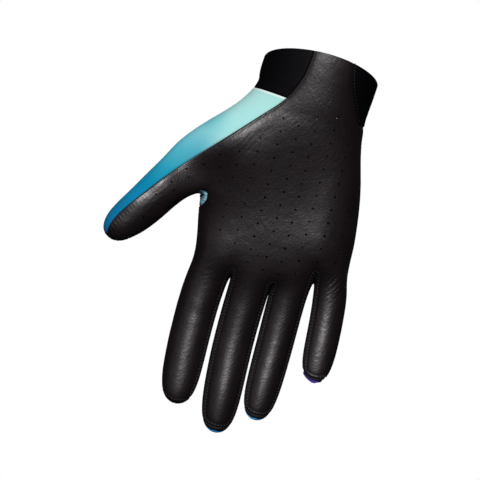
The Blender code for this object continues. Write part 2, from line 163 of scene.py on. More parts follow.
THUMB_RINGS = (
    # name, outer_x, outer_z, inner_x, inner_z, seam, thickness, forward
    ("root", -0.848, -0.430, -0.620, -0.485, 0.32, 0.48, 0.24),
    ("joint", -0.928, -0.502, -0.700, -0.550, 0.22, 0.46, 0.28),
    ("pad", -1.020, -0.575, -0.785, -0.607, 0.17, 0.42, 0.33),
    ("tip", -1.032, -0.624, -0.880, -0.648, 0.17, 0.28, 0.37),
)
THUMB_CAP = (-0.965, -0.663, 0.38)
print("rings of trunk, palm, thumb and a finger:")
print(len(TRUNK_RINGS), len(PALM_RINGS) + 1, len(THUMB_RINGS), len(FINGER_RINGS))

# %% [markdown]
# ## From sizes to places
# A ring is a closed row of points. Round the wrist it is a rounded box, which leans and narrows. Round
# a digit it is an ellipse, whose points are given by their turns, because a seam runs along some of
# them. The functions below turn a row of sizes into such points, always in the same order: along the
# palm side from left to right, the right edge, back along the other side, and the left edge.


# %% Places of the rings
def mix(first, last, share):
    return first + (last - first) * share


def bulge(share, squareness):
    """Height of a rounded section over its middle line, from 0 at the edges to 1."""
    return max(0.0, 1 - abs(share) ** squareness) ** (1 / squareness)


def swell(columns):
    """Smoothing draws a round ring in by this share, so the cage is made larger by it."""
    return 6 / (4 + 2 * math.cos(2 * math.pi / columns))


def trunk_places(row):
    """One ring of the trunk: palm side from left to right, right edge, back, left edge."""
    name, left_z, fork_z, right_z, left, seam, fork, corner, right, front, back = row[:11]
    forward, tilt, squareness, even = row[11:]
    middle, half = (left + right) / 2, (right - left) / 2
    columns = [mix(left, seam, FIRST_COLUMN), seam, mix(seam, fork, 0.5)]
    columns += [mix(fork, corner, k / PALM_COLUMNS) for k in range(PALM_COLUMNS + 1)]
    turns = [math.asin((x - middle) / half) for x in columns]
    rest = TRUNK_COLUMNS + 4
    mirrored = [math.pi / 2] + [math.pi - t for t in reversed(turns)] + [1.5 * math.pi]
    spread = [mix(turns[-1], 2 * math.pi + turns[1], (k + 1) / (rest + 1)) for k in range(rest)]
    turns[0] = mix(turns[0], spread[-1] - 2 * math.pi, even)
    turns += [mix(a, b, even) for a, b in zip(mirrored, spread)]
    places = []
    for turn in turns:
        side = math.sin(turn)
        x = middle + half * side
        toward = max(0.0, (fork - x) / (fork - left))
        y = (-front if math.cos(turn) > 0 else back) * bulge(side, squareness) - forward * toward
        z = mix(fork_z, left_z, toward) if x < fork else mix(fork_z, right_z, (x - fork) / (right - fork))
        places.append(Vector((x * BREADTH, y * DEPTH, z * LENGTH - tilt * y * DEPTH)))
    return places


def palm_places(front_x, heights, left, right, front, back):
    middle, half = (left + right) / 2, (right - left) / 2
    rise = [bulge((x - middle) / half, PALM_SQUARENESS) for x in front_x]
    rows = [(x, -front * high, z) for x, high, z in zip(front_x, rise, heights)]
    rows += [(right, 0.0, heights[-1])]
    rows += [(x, back * high, z) for x, high, z in reversed(list(zip(front_x, rise, heights)))]
    rows += [(left, 0.0, heights[0])]
    return [Vector((x * BREADTH, y * DEPTH, z * LENGTH)) for x, y, z in rows]


def even_turns(left, right):
    """Turns of the columns of a digit's palm side or back, from two angles in degrees."""
    return [math.radians(mix(-left, right, k / DIGIT)) for k in range(DIGIT + 1)]


def digit_places(middle, across, half, thickness, front, back):
    """One ring of a finger or of the thumb, from its columns' turns round the middle."""
    fit = swell(2 * DIGIT + 4)
    turns = front + [math.pi / 2] + [math.pi - t for t in reversed(back)] + [1.5 * math.pi]
    toward = Vector((0, -thickness / 2, 0))
    return [middle + fit * (across * half * math.sin(t) + toward * math.cos(t)) for t in turns]


def panel_of(count, front, right, back, left):
    """Panel number of each column of faces between two rings."""
    front = [front] * count if isinstance(front, int) else list(front)
    return front + [right] * 2 + [back] * count + [left] * 2


def branch(parent, first, last, webs):
    """The places of a ring from one column to another, closed over the webs beside it."""
    count = len(parent) // 2 - 2
    front = parent[first:last + 1]
    back = [parent[2 * count + 2 - k] for k in range(last, first - 1, -1)]
    right = parent[count + 1] if last == count else webs[last]
    left = parent[-1] if first == 0 else webs[first]
    return front + [right] + back + [left]


def web_place(ring, column, reach, drop):
    """Halfway between palm side and back where two tubes branch, moved left and down."""
    count = len(ring) // 2 - 2
    return (ring[column] + ring[2 * count + 2 - column]) / 2 - Vector((reach, 0, drop))


# %% [markdown]
# ## Pulling tubes out of circles
# Each tube starts as a circle primitive. Its open edge is extruded ring by ring, and each new ring is
# set to its places, as one would pull it out by hand. The faces remember which panel of the glove
# they belong to by their material number. A tip is closed by pulling the last ring together onto one
# line and merging it, which leaves two rows of clean quads.

# %% Tubes by extrusion
def start_tube(name, places, first_ring):
    bpy.ops.object.select_all(action="DESELECT")
    bpy.ops.mesh.primitive_circle_add(vertices=len(places), radius=30 * MM, fill_type="NOTHING")
    tube = bpy.context.object
    tube.name = name
    along = tube.data.attributes.new("along", "FLOAT", "POINT")
    for vertex, value, place in zip(tube.data.vertices, along.data, places):
        vertex.co = place
        value.value = first_ring
    bpy.ops.object.mode_set(mode="EDIT")
    bpy.ops.mesh.select_all(action="SELECT")
    return tube, list(range(len(places)))


def pull_ring(tube, ring, places, panels):
    """Extrudes the selected open edge to new places and numbers the new faces."""
    bpy.ops.mesh.extrude_region_move()
    mesh = bmesh.from_edit_mesh(tube.data)
    mesh.verts.ensure_lookup_table()
    mesh.verts.index_update()
    along = mesh.verts.layers.float["along"]
    olds = [mesh.verts[k] for k in ring]
    news = []
    for old in olds:
        news += [edge.other_vert(old) for edge in old.link_edges if edge.other_vert(old).select]
    for old, new, place in zip(olds, news, places):
        new.co = place
        new[along] = old[along] + 1
    for k, old in enumerate(olds):
        following = olds[(k + 1) % len(olds)]
        for face in old.link_faces:
            if news[k] in face.verts and following in face.verts:
                face.material_index = panels[k]
    lower = [new.index for new in news]
    bmesh.update_edit_mesh(tube.data)
    return lower


def close_tip(tube, ring, last_places, line_places, front_panels, back_panel):
    """Pulls the open end together onto the line between its two side vertices and merges it."""
    count = len(last_places) // 2 - 2
    left, right = last_places[-1], last_places[count + 1]
    line = [left] + line_places + [right]
    together = line + [right] + list(reversed(line)) + [left]
    pull_ring(tube, ring, together, panel_of(count, front_panels, back_panel, back_panel, back_panel))
    bpy.ops.mesh.select_all(action="SELECT")
    bpy.ops.mesh.remove_doubles(threshold=0.05 * MM)
    bpy.ops.object.mode_set(mode="OBJECT")


# %% [markdown]
# ## The cage of the hand
# The trunk runs from the rim of the cuff to the fork of the thumb. There its ring is shared out: some
# of its points start the thumb and the others the palm, with one more point between them for the skin
# of the fork. The palm's last ring is shared out in the same way among the four fingers.

# %% The trunk, the thumb and the palm
trunk_rings = [trunk_places(row) for row in TRUNK_RINGS]
tongue = [WRAP] + [PALM] * (TRUNK_COLUMNS - 1)
cuff_faces = panel_of(TRUNK_COLUMNS, tongue, WRAP, WRAP, WRAP)
hand_faces = panel_of(TRUNK_COLUMNS, [BACK] + tongue[1:], PALM, BACK, BACK)
trunk, ring = start_tube("trunk", trunk_rings[0], 0)
for number, places in enumerate(trunk_rings[1:]):
    ring = pull_ring(trunk, ring, places, cuff_faces if number < 2 else hand_faces)
bpy.ops.object.mode_set(mode="OBJECT")
tubes = [trunk]

fork = trunk_rings[-1]
fork_webs = {DIGIT: web_place(fork, DIGIT, THUMB_WEB_REACH, -THUMB_WEB_RISE)}
places = branch(fork, 0, DIGIT, fork_webs)
thumb, ring = start_tube("thumb", places, len(TRUNK_RINGS) - 1)
for name, outer_x, outer_z, inner_x, inner_z, seam, thickness, forward in THUMB_RINGS:
    outer = Vector((outer_x * BREADTH, 0, outer_z * LENGTH))
    inner = Vector((inner_x * BREADTH, 0, inner_z * LENGTH))
    middle = (outer + inner) / 2 - Vector((0, forward * DEPTH, 0))
    across, half = (inner - outer).normalized(), (inner - outer).length / 2
    seam_turn, high = math.asin(2 * seam - 1), math.radians(CORNER_TURN)
    turns = [math.radians(-THUMB_CORNER_TURN), seam_turn, mix(seam_turn, high, 0.5), high]
    places = digit_places(middle, across, half, thickness * DEPTH, turns, turns)
    ring = pull_ring(thumb, ring, places, panel_of(DIGIT, [BACK, PALM, PALM], PALM, BACK, BACK))
cap_x, cap_z, forward = THUMB_CAP
end = Vector((cap_x * BREADTH, -forward * DEPTH, cap_z * LENGTH))
line = [end + across * half * (k / DIGIT * 2 - 1) for k in range(1, DIGIT)]
close_tip(thumb, ring, places, line, [BACK, PALM, PALM], BACK)
tubes.append(thumb)

palm, ring = start_tube("palm", branch(fork, DIGIT, TRUNK_COLUMNS, fork_webs), len(TRUNK_RINGS) - 1)
notch = BACK
for name, left_z, right_z, left, right_x, corner, front, back in PALM_RINGS:
    shares = [mix(corner, 1 - PALM_CORNER, k / PALM_COLUMNS) for k in range(PALM_COLUMNS + 1)]
    front_x = [mix(left, right_x, share) for share in shares]
    heights = [mix(left_z, right_z, share) for share in shares]
    places = palm_places(front_x, heights, left, right_x, front, back)
    ring = pull_ring(palm, ring, places, panel_of(PALM_COLUMNS, PALM, PALM, BACK, notch))
    notch = PALM
columns = [KNUCKLES[0][1:3]]
for (_, x0, z0, _), (_, x1, z1, _) in zip(KNUCKLES, KNUCKLES[1:]):
    columns += [(mix(x0, x1, k / DIGIT), mix(z0, z1, k / DIGIT)) for k in range(1, DIGIT + 1)]
front_x, heights = (list(values) for values in zip(*columns))
left, right_x = front_x[0], front_x[-1]
front_x[0], front_x[-1] = mix(left, right_x, PALM_CORNER), mix(right_x, left, PALM_CORNER)
knuckles = palm_places(front_x, heights, left, right_x, KNUCKLE_DEPTH, KNUCKLE_DEPTH)
pull_ring(palm, ring, knuckles, panel_of(PALM_COLUMNS, PALM, PALM, BACK, PALM))
bpy.ops.object.mode_set(mode="OBJECT")
tubes.append(palm)
print("cage so far:", [(tube.name, len(tube.data.polygons)) for tube in tubes])

# %% The fingers
KNUCKLE_RING = len(TRUNK_RINGS) + len(PALM_RINGS)
finger_webs = {}
for number, (_, x, z, drop) in enumerate(KNUCKLES[1:-1], 1):
    finger_webs[number * DIGIT] = web_place(knuckles, number * DIGIT, 0.0, drop * LENGTH)
for number, finger in enumerate(FINGERS):
    name, root_x, bend_x, tip_x, tip_z, root_width, tip_width, left_turn, right_turn = finger[:9]
    left_panel, right_panel, cap_panel = finger[9:]
    root = branch(knuckles, number * DIGIT, (number + 1) * DIGIT, finger_webs)
    tube, ring = start_tube(name, root, KNUCKLE_RING)
    top = (KNUCKLES[number][2] + KNUCKLES[number + 1][2]) / 2
    faces = panel_of(DIGIT, PALM, right_panel, BACK, left_panel)
    front, back = even_turns(left_turn, right_turn), even_turns(CORNER_TURN, CORNER_TURN)
    for _, along, width, thick, curl, arc in FINGER_RINGS:
        if along < BEND_ALONG:
            x = mix(root_x, bend_x, along / BEND_ALONG)
        else:
            x = mix(bend_x, tip_x, (along - BEND_ALONG) / (1 - BEND_ALONG))
        breadth = mix(root_width, tip_width, along) * BREADTH
        middle = Vector((x * BREADTH, -curl * DEPTH, mix(top, tip_z, along) * LENGTH))
        half = width * breadth / 2
        places = digit_places(middle, Vector((1, 0, 0)), half, thick * breadth, front, back)
        for place in places[:DIGIT + 1]:
            place.z -= arc * breadth * (1 - min(1.0, abs(place.x - middle.x) / half) ** 2)
        ring = pull_ring(tube, ring, places, faces)
    end = Vector((tip_x * BREADTH, -CAP_CURL * DEPTH, mix(top, tip_z, CAP_ALONG) * LENGTH))
    reach = Vector((CAP_WIDTH * breadth / 2, 0, 0))
    line = [end + reach * (k / DIGIT * 2 - 1) for k in range(1, DIGIT)]
    close_tip(tube, ring, places, line, [cap_panel] * DIGIT, BACK)
    tubes.append(tube)
print("cage so far:", [(tube.name, len(tube.data.polygons)) for tube in tubes])

# %% [markdown]
# ## One smooth skin
# The tubes share the rings where they branch, so joining them and merging doubles closes the webs.
# Four levels of subdivision leave faces about half a millimetre wide across a finger, which is fine
# enough to carry a rolled seam edge and a crease as real shape. Extruding numbers the new points in an
# order that changes from run to run. We sort them by their distance from the cursor, so that each row
# of stitches starts at the same place every time.

# %% Join and subdivide
SORT_FROM = (0.13, 0.31, 0.17)


def sort_all():
    """Numbers the points, edges and faces anew, from the nearest to one place to the farthest."""
    bpy.ops.mesh.select_all(action="SELECT")
    bpy.context.scene.cursor.location = SORT_FROM
    bpy.ops.mesh.sort_elements(type="CURSOR_DISTANCE", elements={"VERT", "EDGE", "FACE"})
    bpy.context.scene.cursor.location = (0, 0, 0)


NAMES = (
    "perforated_palm",
    "knit_back",
    "foam_cuff",
    "side_knit_index_middle",
    "side_knit_middle_ring",
    "side_knit_ring_little",
)
bpy.ops.object.select_all(action="DESELECT")
for tube in tubes:
    for name in NAMES:
        tube.data.materials.append(bpy.data.materials.get(name) or bpy.data.materials.new(name))
    tube.select_set(True)
bpy.context.view_layer.objects.active = trunk
bpy.ops.object.join()
skin = bpy.context.object
skin.name = "skin"
bpy.ops.object.mode_set(mode="EDIT")
bpy.ops.mesh.select_all(action="SELECT")
bpy.ops.mesh.remove_doubles(threshold=0.05 * MM)
bpy.ops.mesh.normals_make_consistent(inside=False)
sort_all()
bpy.ops.object.mode_set(mode="OBJECT")
print("cage faces:", len(skin.data.polygons))
LEVELS = 4
smoothing = skin.modifiers.new("smoothing", "SUBSURF")
smoothing.levels = LEVELS
smoothing.render_levels = LEVELS
bpy.ops.object.modifier_apply(modifier="smoothing")
print("skin faces:", len(skin.data.polygons))

# %% [markdown]
# ## Even faces on the fingers
# The two long bands of each finger have faces twice as long as elsewhere, so their lengthwise edges are
# split once more. The ring number, which the cage carried through the subdivision, tells which they are.

# %% Split the long faces of the fingers
bpy.ops.object.mode_set(mode="EDIT")
bpy.ops.mesh.select_mode(type="EDGE")
bpy.ops.mesh.select_all(action="DESELECT")
mesh = bmesh.from_edit_mesh(skin.data)
along = mesh.verts.layers.float["along"]
for edge in mesh.edges:
    low, high = sorted(vert[along] for vert in edge.verts)
    in_bands = low > KNUCKLE_RING + 0.99 and high < KNUCKLE_RING + 3.01
    edge.select = high - low > 0.5 / 2 ** LEVELS and in_bands
bmesh.update_edit_mesh(skin.data)
bpy.ops.mesh.subdivide(number_cuts=1, smoothness=0.0)
sort_all()
bpy.ops.object.mode_set(mode="OBJECT")
print("skin faces:", len(skin.data.polygons))

# %% [markdown]
# ## The skin as arrays
# The next steps shape about 155,000 points by formulas. That is done on arrays of all the
# points at once, because a loop over single points would take minutes.


# %% Reading and writing the skin as arrays
def read_points(mesh):
    points = np.empty(len(mesh.vertices) * 3)
    mesh.vertices.foreach_get("co", points)
    return points.reshape(-1, 3)


def read_normals(mesh):
    normals = np.empty(len(mesh.vertices) * 3, dtype=np.float32)
    mesh.vertex_normals.foreach_get("vector", normals)
    return normals.reshape(-1, 3).astype(float)


def write_points(mesh, points):
    mesh.vertices.foreach_set("co", points.ravel())
    mesh.update()


# %% [markdown]
# ## Two seams drawn finer than the cage
# At a fingertip the back's knit comes round under the black strip, so a sliver of its colour shows from
# the palm side, widest at the very end of the finger. In the fork of the thumb the knit fills a half
# round opening in the leather. Both are drawn on the smooth skin, by giving faces of one panel to the
# other. The cage would need many more faces to hold such small forms. The opening's round edge is then
# set exactly on its ellipse, apart from its level top.

# %% Redraw the seams
TIP_RING = KNUCKLE_RING + len(FINGER_RINGS)
TIP_SHOWS = 0.40  # the sliver's start in the middle of a tip, in rings past the last one
TIP_NARROWS = 0.45  # how much later it starts at its two ends
TIP_REACH = 0.11  # from its middle to its ends, as a share of BREADTH
NOTCH_X, NOTCH_Z, NOTCH_ACROSS, NOTCH_DOWN = -53.0 * MM, -91.8 * MM, 5.7 * MM, 6.2 * MM
NOTCH_TOP = -88.2 * MM
NOTCH_SLOPE = 0.15  # how the top falls away to the right
NOTCH_LEFT = 1.2 * MM  # the left edge, from NOTCH_X
NOTCH_SNAP = 0.14  # how near the ellipse a point is drawn onto it, as a share of the ellipse
FORK_X, FORK_Z, FORK_Y = (-56 * MM, -44 * MM), (-102 * MM, -84 * MM), 8 * MM  # the fork's own faces
mesh = skin.data
points = read_points(mesh)
corners = np.empty(len(mesh.loops), dtype=np.int32)
mesh.loops.foreach_get("vertex_index", corners)
starts = np.array([polygon.loop_start for polygon in mesh.polygons])
sizes = np.array([polygon.loop_total for polygon in mesh.polygons])
ring_number = np.empty(len(points))
mesh.attributes["along"].data.foreach_get("value", ring_number)
centre_of = np.add.reduceat(points[corners], starts) / sizes[:, None]
ring_of = np.add.reduceat(ring_number[corners], starts) / sizes
panel_number = np.empty(len(mesh.polygons), dtype=np.int32)
mesh.polygons.foreach_get("material_index", panel_number)
aside = np.min([abs(centre_of[:, 0] / BREADTH - finger[3]) for finger in FINGERS], axis=0) / TIP_REACH
tips = (panel_number >= SIDE_A) & (ring_of > TIP_RING + TIP_SHOWS + TIP_NARROWS * aside ** 2)
panel_number[tips] = BACK
x, y, z = centre_of.T
in_fork = (x > FORK_X[0]) & (x < FORK_X[1]) & (z > FORK_Z[0]) & (z < FORK_Z[1]) & (y < FORK_Y)
in_notch = ((x - NOTCH_X) / NOTCH_ACROSS) ** 2 + ((z - NOTCH_Z) / NOTCH_DOWN) ** 2 < 1
in_notch &= (z < NOTCH_TOP - NOTCH_SLOPE * (x - NOTCH_X)) & (x > NOTCH_X + NOTCH_LEFT)
panel_number[in_fork & (panel_number <= BACK)] = PALM
panel_number[in_fork & in_notch] = BACK
mesh.polygons.foreach_set("material_index", panel_number)
side_count = np.zeros(len(points), dtype=np.int32)
for panel in (PALM, BACK):
    touched = np.zeros(len(points), dtype=np.int32)
    touched[corners[np.repeat(panel_number == panel, sizes)]] = 1
    side_count += touched
dx, dz = (points[:, 0] - NOTCH_X) / NOTCH_ACROSS, (points[:, 2] - NOTCH_Z) / NOTCH_DOWN
reach = np.maximum(np.hypot(dx, dz), 0.01)
on_edge = (side_count == 2) & (abs(reach - 1) < NOTCH_SNAP) & (points[:, 1] < 0)
on_edge &= (points[:, 2] < NOTCH_TOP - 1.0 * MM) & (points[:, 0] > NOTCH_X - 1.0 * MM)
points[on_edge, 0] = NOTCH_X + (dx / reach * NOTCH_ACROSS)[on_edge]
points[on_edge, 2] = NOTCH_Z + (dz / reach * NOTCH_DOWN)[on_edge]
write_points(mesh, points)
print("faces at the tips:", int(tips.sum()), "in the notch:", int((in_fork & in_notch).sum()))
print("points set on the notch's edge:", int(on_edge.sum()))

# %% [markdown]
# ## Dents and mounds of the relaxed hand
# A stuffed glove shows the hand inside: the leather folds beside the thumb and swells over the ball of
# the thumb, the heel of the hand and the pads of the fingers. Broad lights on dark leather show such
# forms more than the outline does. Each row below moves the palm side by a bell curve, in or out. The
# solids of the CAD source have the main dents only.

# %% Press the dents
DENTS = (
    # name, x, reach_x, z, reach_z, depth: a negative depth is a mound
    ("hollow of the palm", 0.06, 0.30, -0.420, 0.110, 0.005),
    ("ball of the thumb", -0.36, 0.17, -0.310, 0.085, -0.050),
    ("fold beside the thumb", -0.50, 0.14, -0.400, 0.075, 0.045),
    ("mound under the index finger", -0.33, 0.15, -0.625, 0.072, -0.034),
    ("heel of the hand", 0.27, 0.14, -0.460, 0.170, -0.045),
    ("upper side of the thumb", -0.80, 0.10, -0.420, 0.050, -0.040),
    ("upper side of the thumb's tip", -0.93, 0.10, -0.510, 0.050, -0.040),
    ("pad of the middle finger", -0.07, 0.12, -1.020, 0.100, -0.024),
    ("pad of the ring finger", 0.155, 0.11, -0.970, 0.090, -0.012),
    ("pad of the little finger", 0.430, 0.10, -0.900, 0.080, 0.022),
    ("edge of the wrist", 0.08, 0.30, 0.080, 0.170, -0.050),
    ("wrist crease", 0.02, 0.22, -0.150, 0.028, 0.006),
    ("crease of the index finger", -0.36, 0.10, -0.805, 0.024, 0.004),
)


def bell(across, down):
    """Falls from 1 in the middle to almost nothing at twice the reach."""
    return np.exp(-across ** 2 - down ** 2)


points = read_points(skin.data)
normals = read_normals(skin.data)
palm_side = np.clip((-normals[:, 1] - 0.1) / 0.3, 0, 1)
for name, x, reach_x, z, reach_z, depth in DENTS:
    across = (points[:, 0] - x * BREADTH) / (reach_x * BREADTH)
    down = (points[:, 2] - z * LENGTH) / (reach_z * LENGTH)
    points[:, 1] += depth * DEPTH * bell(across, down) * palm_side
write_points(skin.data, points)
print("dents and mounds:", len(DENTS))

# %% [markdown]
# ## Where the seams run
# A seam lies wherever two faces of different panels meet. For every point of the skin we want its
# distance to the nearest seam and which two panels that seam joins, because the edge of a turned and
# stitched panel swells, dips at the thread and lies flat again within a few millimetres.

# %% Find the seams
edge_panels = {}
for polygon in mesh.polygons:
    for key in polygon.edge_keys:
        edge_panels.setdefault(key, []).append(polygon.material_index)
seam_edges = {key: tuple(sorted(found)) for key, found in edge_panels.items() if len(set(found)) == 2}
print("seam edges:", len(seam_edges), "joining", sorted(set(seam_edges.values())))


def tree_of(places):
    """A tree that finds the nearest of many places."""
    tree = kdtree.KDTree(len(places))
    for number, place in enumerate(places):
        tree.insert(place, number)
    tree.balance()
    return tree


seam_points, seam_pairs = [], []
for (a, b), pair in seam_edges.items():
    for share in (0.0, 0.25, 0.5, 0.75):
        seam_points.append(points[a] * (1 - share) + points[b] * share)
        seam_pairs.append(pair)
seam_tree = tree_of(seam_points)
seam_distance = np.empty(len(points))
seam_pair = np.empty(len(points), dtype=np.int32)
PAIRS = sorted(set(seam_pairs))
for k, place in enumerate(points):
    found, index, distance = seam_tree.find(place)
    seam_distance[k] = distance
    seam_pair[k] = PAIRS.index(seam_pairs[index])
vertex_panel = np.zeros(len(points), dtype=np.int32)
vertex_panel[corners] = np.repeat(panel_number, sizes)
print("points within 5 mm of a seam:", int((seam_distance < 5 * MM).sum()))

# %% [markdown]
# ## Folds in the leather
# Soft leather that has been bent keeps shallow folds: across the finger joints, slanting over the
# wrist and the ball of the thumb, and at the root of the little finger. Each row of the first table is
# a group of parallel folds. A little noise bends them, so that no two are alike. The second table says
# where the leather is finely creased as well. Those creases are too small for the mesh, so their amount
# is stored on the points, and the leather's material draws them. The knit's bare edge at the cuff is
# stored in the same way.

# %% Folds and creases
FOLDS = (
    # name, x, z, angle of the folds from level, reach along, reach across, spacing, depth,
    # in mm and degrees
    ("wrist, thumb side", -14, -30, 58, 10, 9, 3.0, 0.05),
    ("wrist, far side", 28, -36, -52, 11, 7, 3.4, 0.12),
    ("ball of the thumb", -36, -50, 62, 13, 10, 3.2, 0.06),
    ("far edge of the palm", 41, -84, -24, 9, 14, 5.0, 0.10),
    ("root of the little finger", 42, -122, 58, 10, 9, 2.2, 0.16),
    ("root of the index finger", -33, -136, 14, 10, 7, 3.8, 0.10),
    ("index joint", -36, -161, 3, 11, 4.5, 2.6, 0.03),
    ("ring joint", 16, -165, 4, 10, 5, 3.0, 0.03),
    ("little joint", 43, -150, -16, 9, 6, 2.6, 0.03),
    ("thumb joint", -76, -101, 52, 11, 6, 3.0, 0.08),
)
CREASED = (
    # name, x, z, reach across, reach down, amount of the fine creases
    ("tongue of the cuff", 12, -16, 22, 17, 0.6),
    ("wrist, thumb side", -20, -38, 14, 12, 0.6),
    ("ball of the thumb", -46, -62, 14, 14, 0.7),
    ("root of the little finger", 42, -124, 11, 15, 1.0),
    ("index joint", -36, -160, 12, 10, 0.5),
    ("far edge of the palm", 44, -78, 9, 22, 0.6),
    ("tip of the thumb", -90, -108, 10, 10, 0.5),
)
BASE_CREASING = 0.40
CRUMPLE, KNIT_CRUMPLE = 0.06, 0.05  # in mm
HEM_EDGE = 1.5  # width of the knit's bare edge, in mm
in_leather = vertex_panel == PALM
facing = np.clip((-normals[:, 1]) / 0.4, 0, 1) * in_leather
wander = np.array([noise.noise(Vector(p) / (9 * MM)) for p in points])
crumple = np.array([noise.fractal(Vector(p) / (7 * MM) + Vector((5, 2, 9)), 0.8, 2.1, 3) for p in points])
lift = np.zeros(len(points))
for name, x, z, angle, along, across, spacing, depth in FOLDS:
    turn = math.radians(angle)
    dx, dz = points[:, 0] / MM - x, points[:, 2] / MM - z
    run = dx * math.cos(turn) + dz * math.sin(turn)
    over = -dx * math.sin(turn) + dz * math.cos(turn)
    wave = np.cos(2 * math.pi * over / spacing + 4.5 * wander) * 0.5 + 0.5
    lift -= depth * MM * wave ** 2 * bell(run / along, over / across) * facing
lift += CRUMPLE * MM * crumple * in_leather
lift += KNIT_CRUMPLE * MM * crumple * (vertex_panel == BACK)
creasing = np.full(len(points), BASE_CREASING)
for name, x, z, across, down, amount in CREASED:
    near = bell((points[:, 0] / MM - x) / across, (points[:, 2] / MM - z) / down)
    creasing = np.maximum(creasing, amount * near)
painted = skin.data.attributes.new("creasing", "FLOAT", "POINT")
painted.data.foreach_set("value", creasing)
at_hem = (vertex_panel == BACK) & (seam_pair == PAIRS.index((BACK, WRAP)))
hem_edge = np.clip(HEM_EDGE - seam_distance / MM, 0, 1) * at_hem
painted = skin.data.attributes.new("hem edge", "FLOAT", "POINT")
painted.data.foreach_set("value", hem_edge)
print("folds:", len(FOLDS), "deepest", round(float(lift.min() / MM), 2), "mm")

# %% [markdown]
# ## The profile of a seam
# The leather is turned under and stitched down, so its edge is a low roll: it dips to the seam, rises
# within a millimetre, sinks under the thread and comes back. The knit beside it rises to a small roll
# of its own. The foam rubber of the cuff is thicker than the leather tongue and stands proud of it, but
# lies down to the knit at its hem. Each profile is a line through a few points, read off at every
# point's distance from its seam. Where leather or knit is eased into a tight curve, at the tip of the
# thumb and in the opening beside it, it gathers in small waves square to the seam.

# %% Roll the seam edges
PROFILES = {
    # panel and neighbour: (distance from the seam, height) in mm
    "leather at a sidewall": (
        (0, -0.45), (0.45, 0.0), (1.0, 0.12), (1.5, 0.04),
        (2.0, -0.14), (2.5, -0.04), (3.4, 0.03), (5.0, 0.0),
    ),
    "leather at the back": ((0, -0.45), (0.45, 0.0), (0.9, 0.14), (1.4, -0.12), (2.0, 0.04), (3.2, 0.0)),
    "leather at the cuff": ((0, -0.45), (0.8, -0.30), (2.0, -0.10), (3.6, 0.0)),
    "sidewall": ((0, -0.55), (0.5, -0.12), (1.0, 0.05), (2.0, 0.0)),
    "back": ((0, -0.50), (0.5, 0.0), (1.1, 0.16), (2.2, 0.0)),
    "cuff at the leather": ((0, -0.30), (0.4, 0.12), (0.9, 0.42), (1.6, 0.58), (5.0, 0.60)),
    "cuff at the back": ((0, -0.30), (0.5, -0.05), (1.2, 0.10), (2.5, 0.26), (5.0, 0.60)),
}
SEAM_DEPTH = 0.45
CUFF_HEIGHT, HEM_HEIGHT, HEM_RAMP = 0.62, -0.02, 9  # the cuff's most, and at its hem, in mm
EASED_FROM, EASED_OVER = 74, 10  # the thumb's gathers fade in along x, in mm
# pitch, height, distance from the seam and reach of the gathers, in mm
THUMB_GATHERS = (2.3, 0.12, 2.4, 1.6)
NOTCH_GATHERS = (1.7, 0.22, 1.2, 1.4)


def profile_name(panel, pair):
    other = pair[0] if pair[1] == panel else pair[1]
    if panel == PALM:
        besides = {WRAP: "leather at the cuff", BACK: "leather at the back"}
        return besides.get(other, "leather at a sidewall")
    if panel == WRAP:
        return "cuff at the leather" if other == PALM else "cuff at the back"
    return "back" if panel == BACK else "sidewall"


def gathers(run, pitch, height, place, reach):
    """Small waves square to a seam, along a run that is counted beside it."""
    beside = np.exp(-((seam_distance / MM - place) / reach) ** 2)
    return height * MM * (np.cos(2 * math.pi * run / (pitch * MM)) * beside)


for number, pair in enumerate(PAIRS):
    for panel in pair:
        rows = np.array(PROFILES[profile_name(panel, pair)]) * MM
        chosen = (seam_pair == number) & (vertex_panel == panel)
        lift[chosen] += np.interp(seam_distance[chosen], rows[:, 0], rows[:, 1])
hem_tree = tree_of([place for place, pair in zip(seam_points, seam_pairs) if pair == (BACK, WRAP)])
for k in np.flatnonzero(vertex_panel == WRAP):
    from_hem = min(1.0, hem_tree.find(points[k])[2] / (HEM_RAMP * MM))
    lift[k] = min(lift[k], (CUFF_HEIGHT * from_hem + HEM_HEIGHT) * MM)
lift[seam_distance < 0.02 * MM] = -SEAM_DEPTH * MM
along_thumb = points[:, 0] * 0.62 + points[:, 2] * 0.78
thumb_tip = np.clip((-points[:, 0] / MM - EASED_FROM) / EASED_OVER, 0, 1) * in_leather
lift += gathers(along_thumb, *THUMB_GATHERS) * thumb_tip
in_notch = bell((points[:, 0] / MM + 49) / 5, (points[:, 2] / MM + 92) / 7) * (vertex_panel == BACK)
lift += gathers(points[:, 2], *NOTCH_GATHERS) * in_notch
points += normals * lift[:, None]
write_points(skin.data, points)
print("lift from", round(float(lift.min() / MM), 2), "to", round(float(lift.max() / MM), 2), "mm")

# %% [markdown]
# ## Cutting the skin into panels
# The skin is separated by material number into the six panels, as one would cut it with a knife. The
# edges of the knits are drawn in by a hair. The leather and the foam rubber keep theirs, so they still
# touch what they are sewn to, and no light shines through the seams. The dark line of a seam comes
# from the dip that we rolled into the skin.

# %% Separate the panels
def pick(item):
    """Selects one object alone and makes it the active one."""
    bpy.ops.object.select_all(action="DESELECT")
    item.select_set(True)
    bpy.context.view_layer.objects.active = item


pick(skin)
bpy.ops.object.mode_set(mode="EDIT")
bpy.ops.mesh.select_all(action="SELECT")
bpy.ops.mesh.separate(type="MATERIAL")
bpy.ops.object.mode_set(mode="OBJECT")
panels = {}
for item in list(bpy.context.selected_objects):
    item.name = item.data.materials[item.data.polygons[0].material_index].name
    panels[NAMES.index(item.name)] = item
print("panels:", {item.name: len(item.data.polygons) for item in panels.values()})


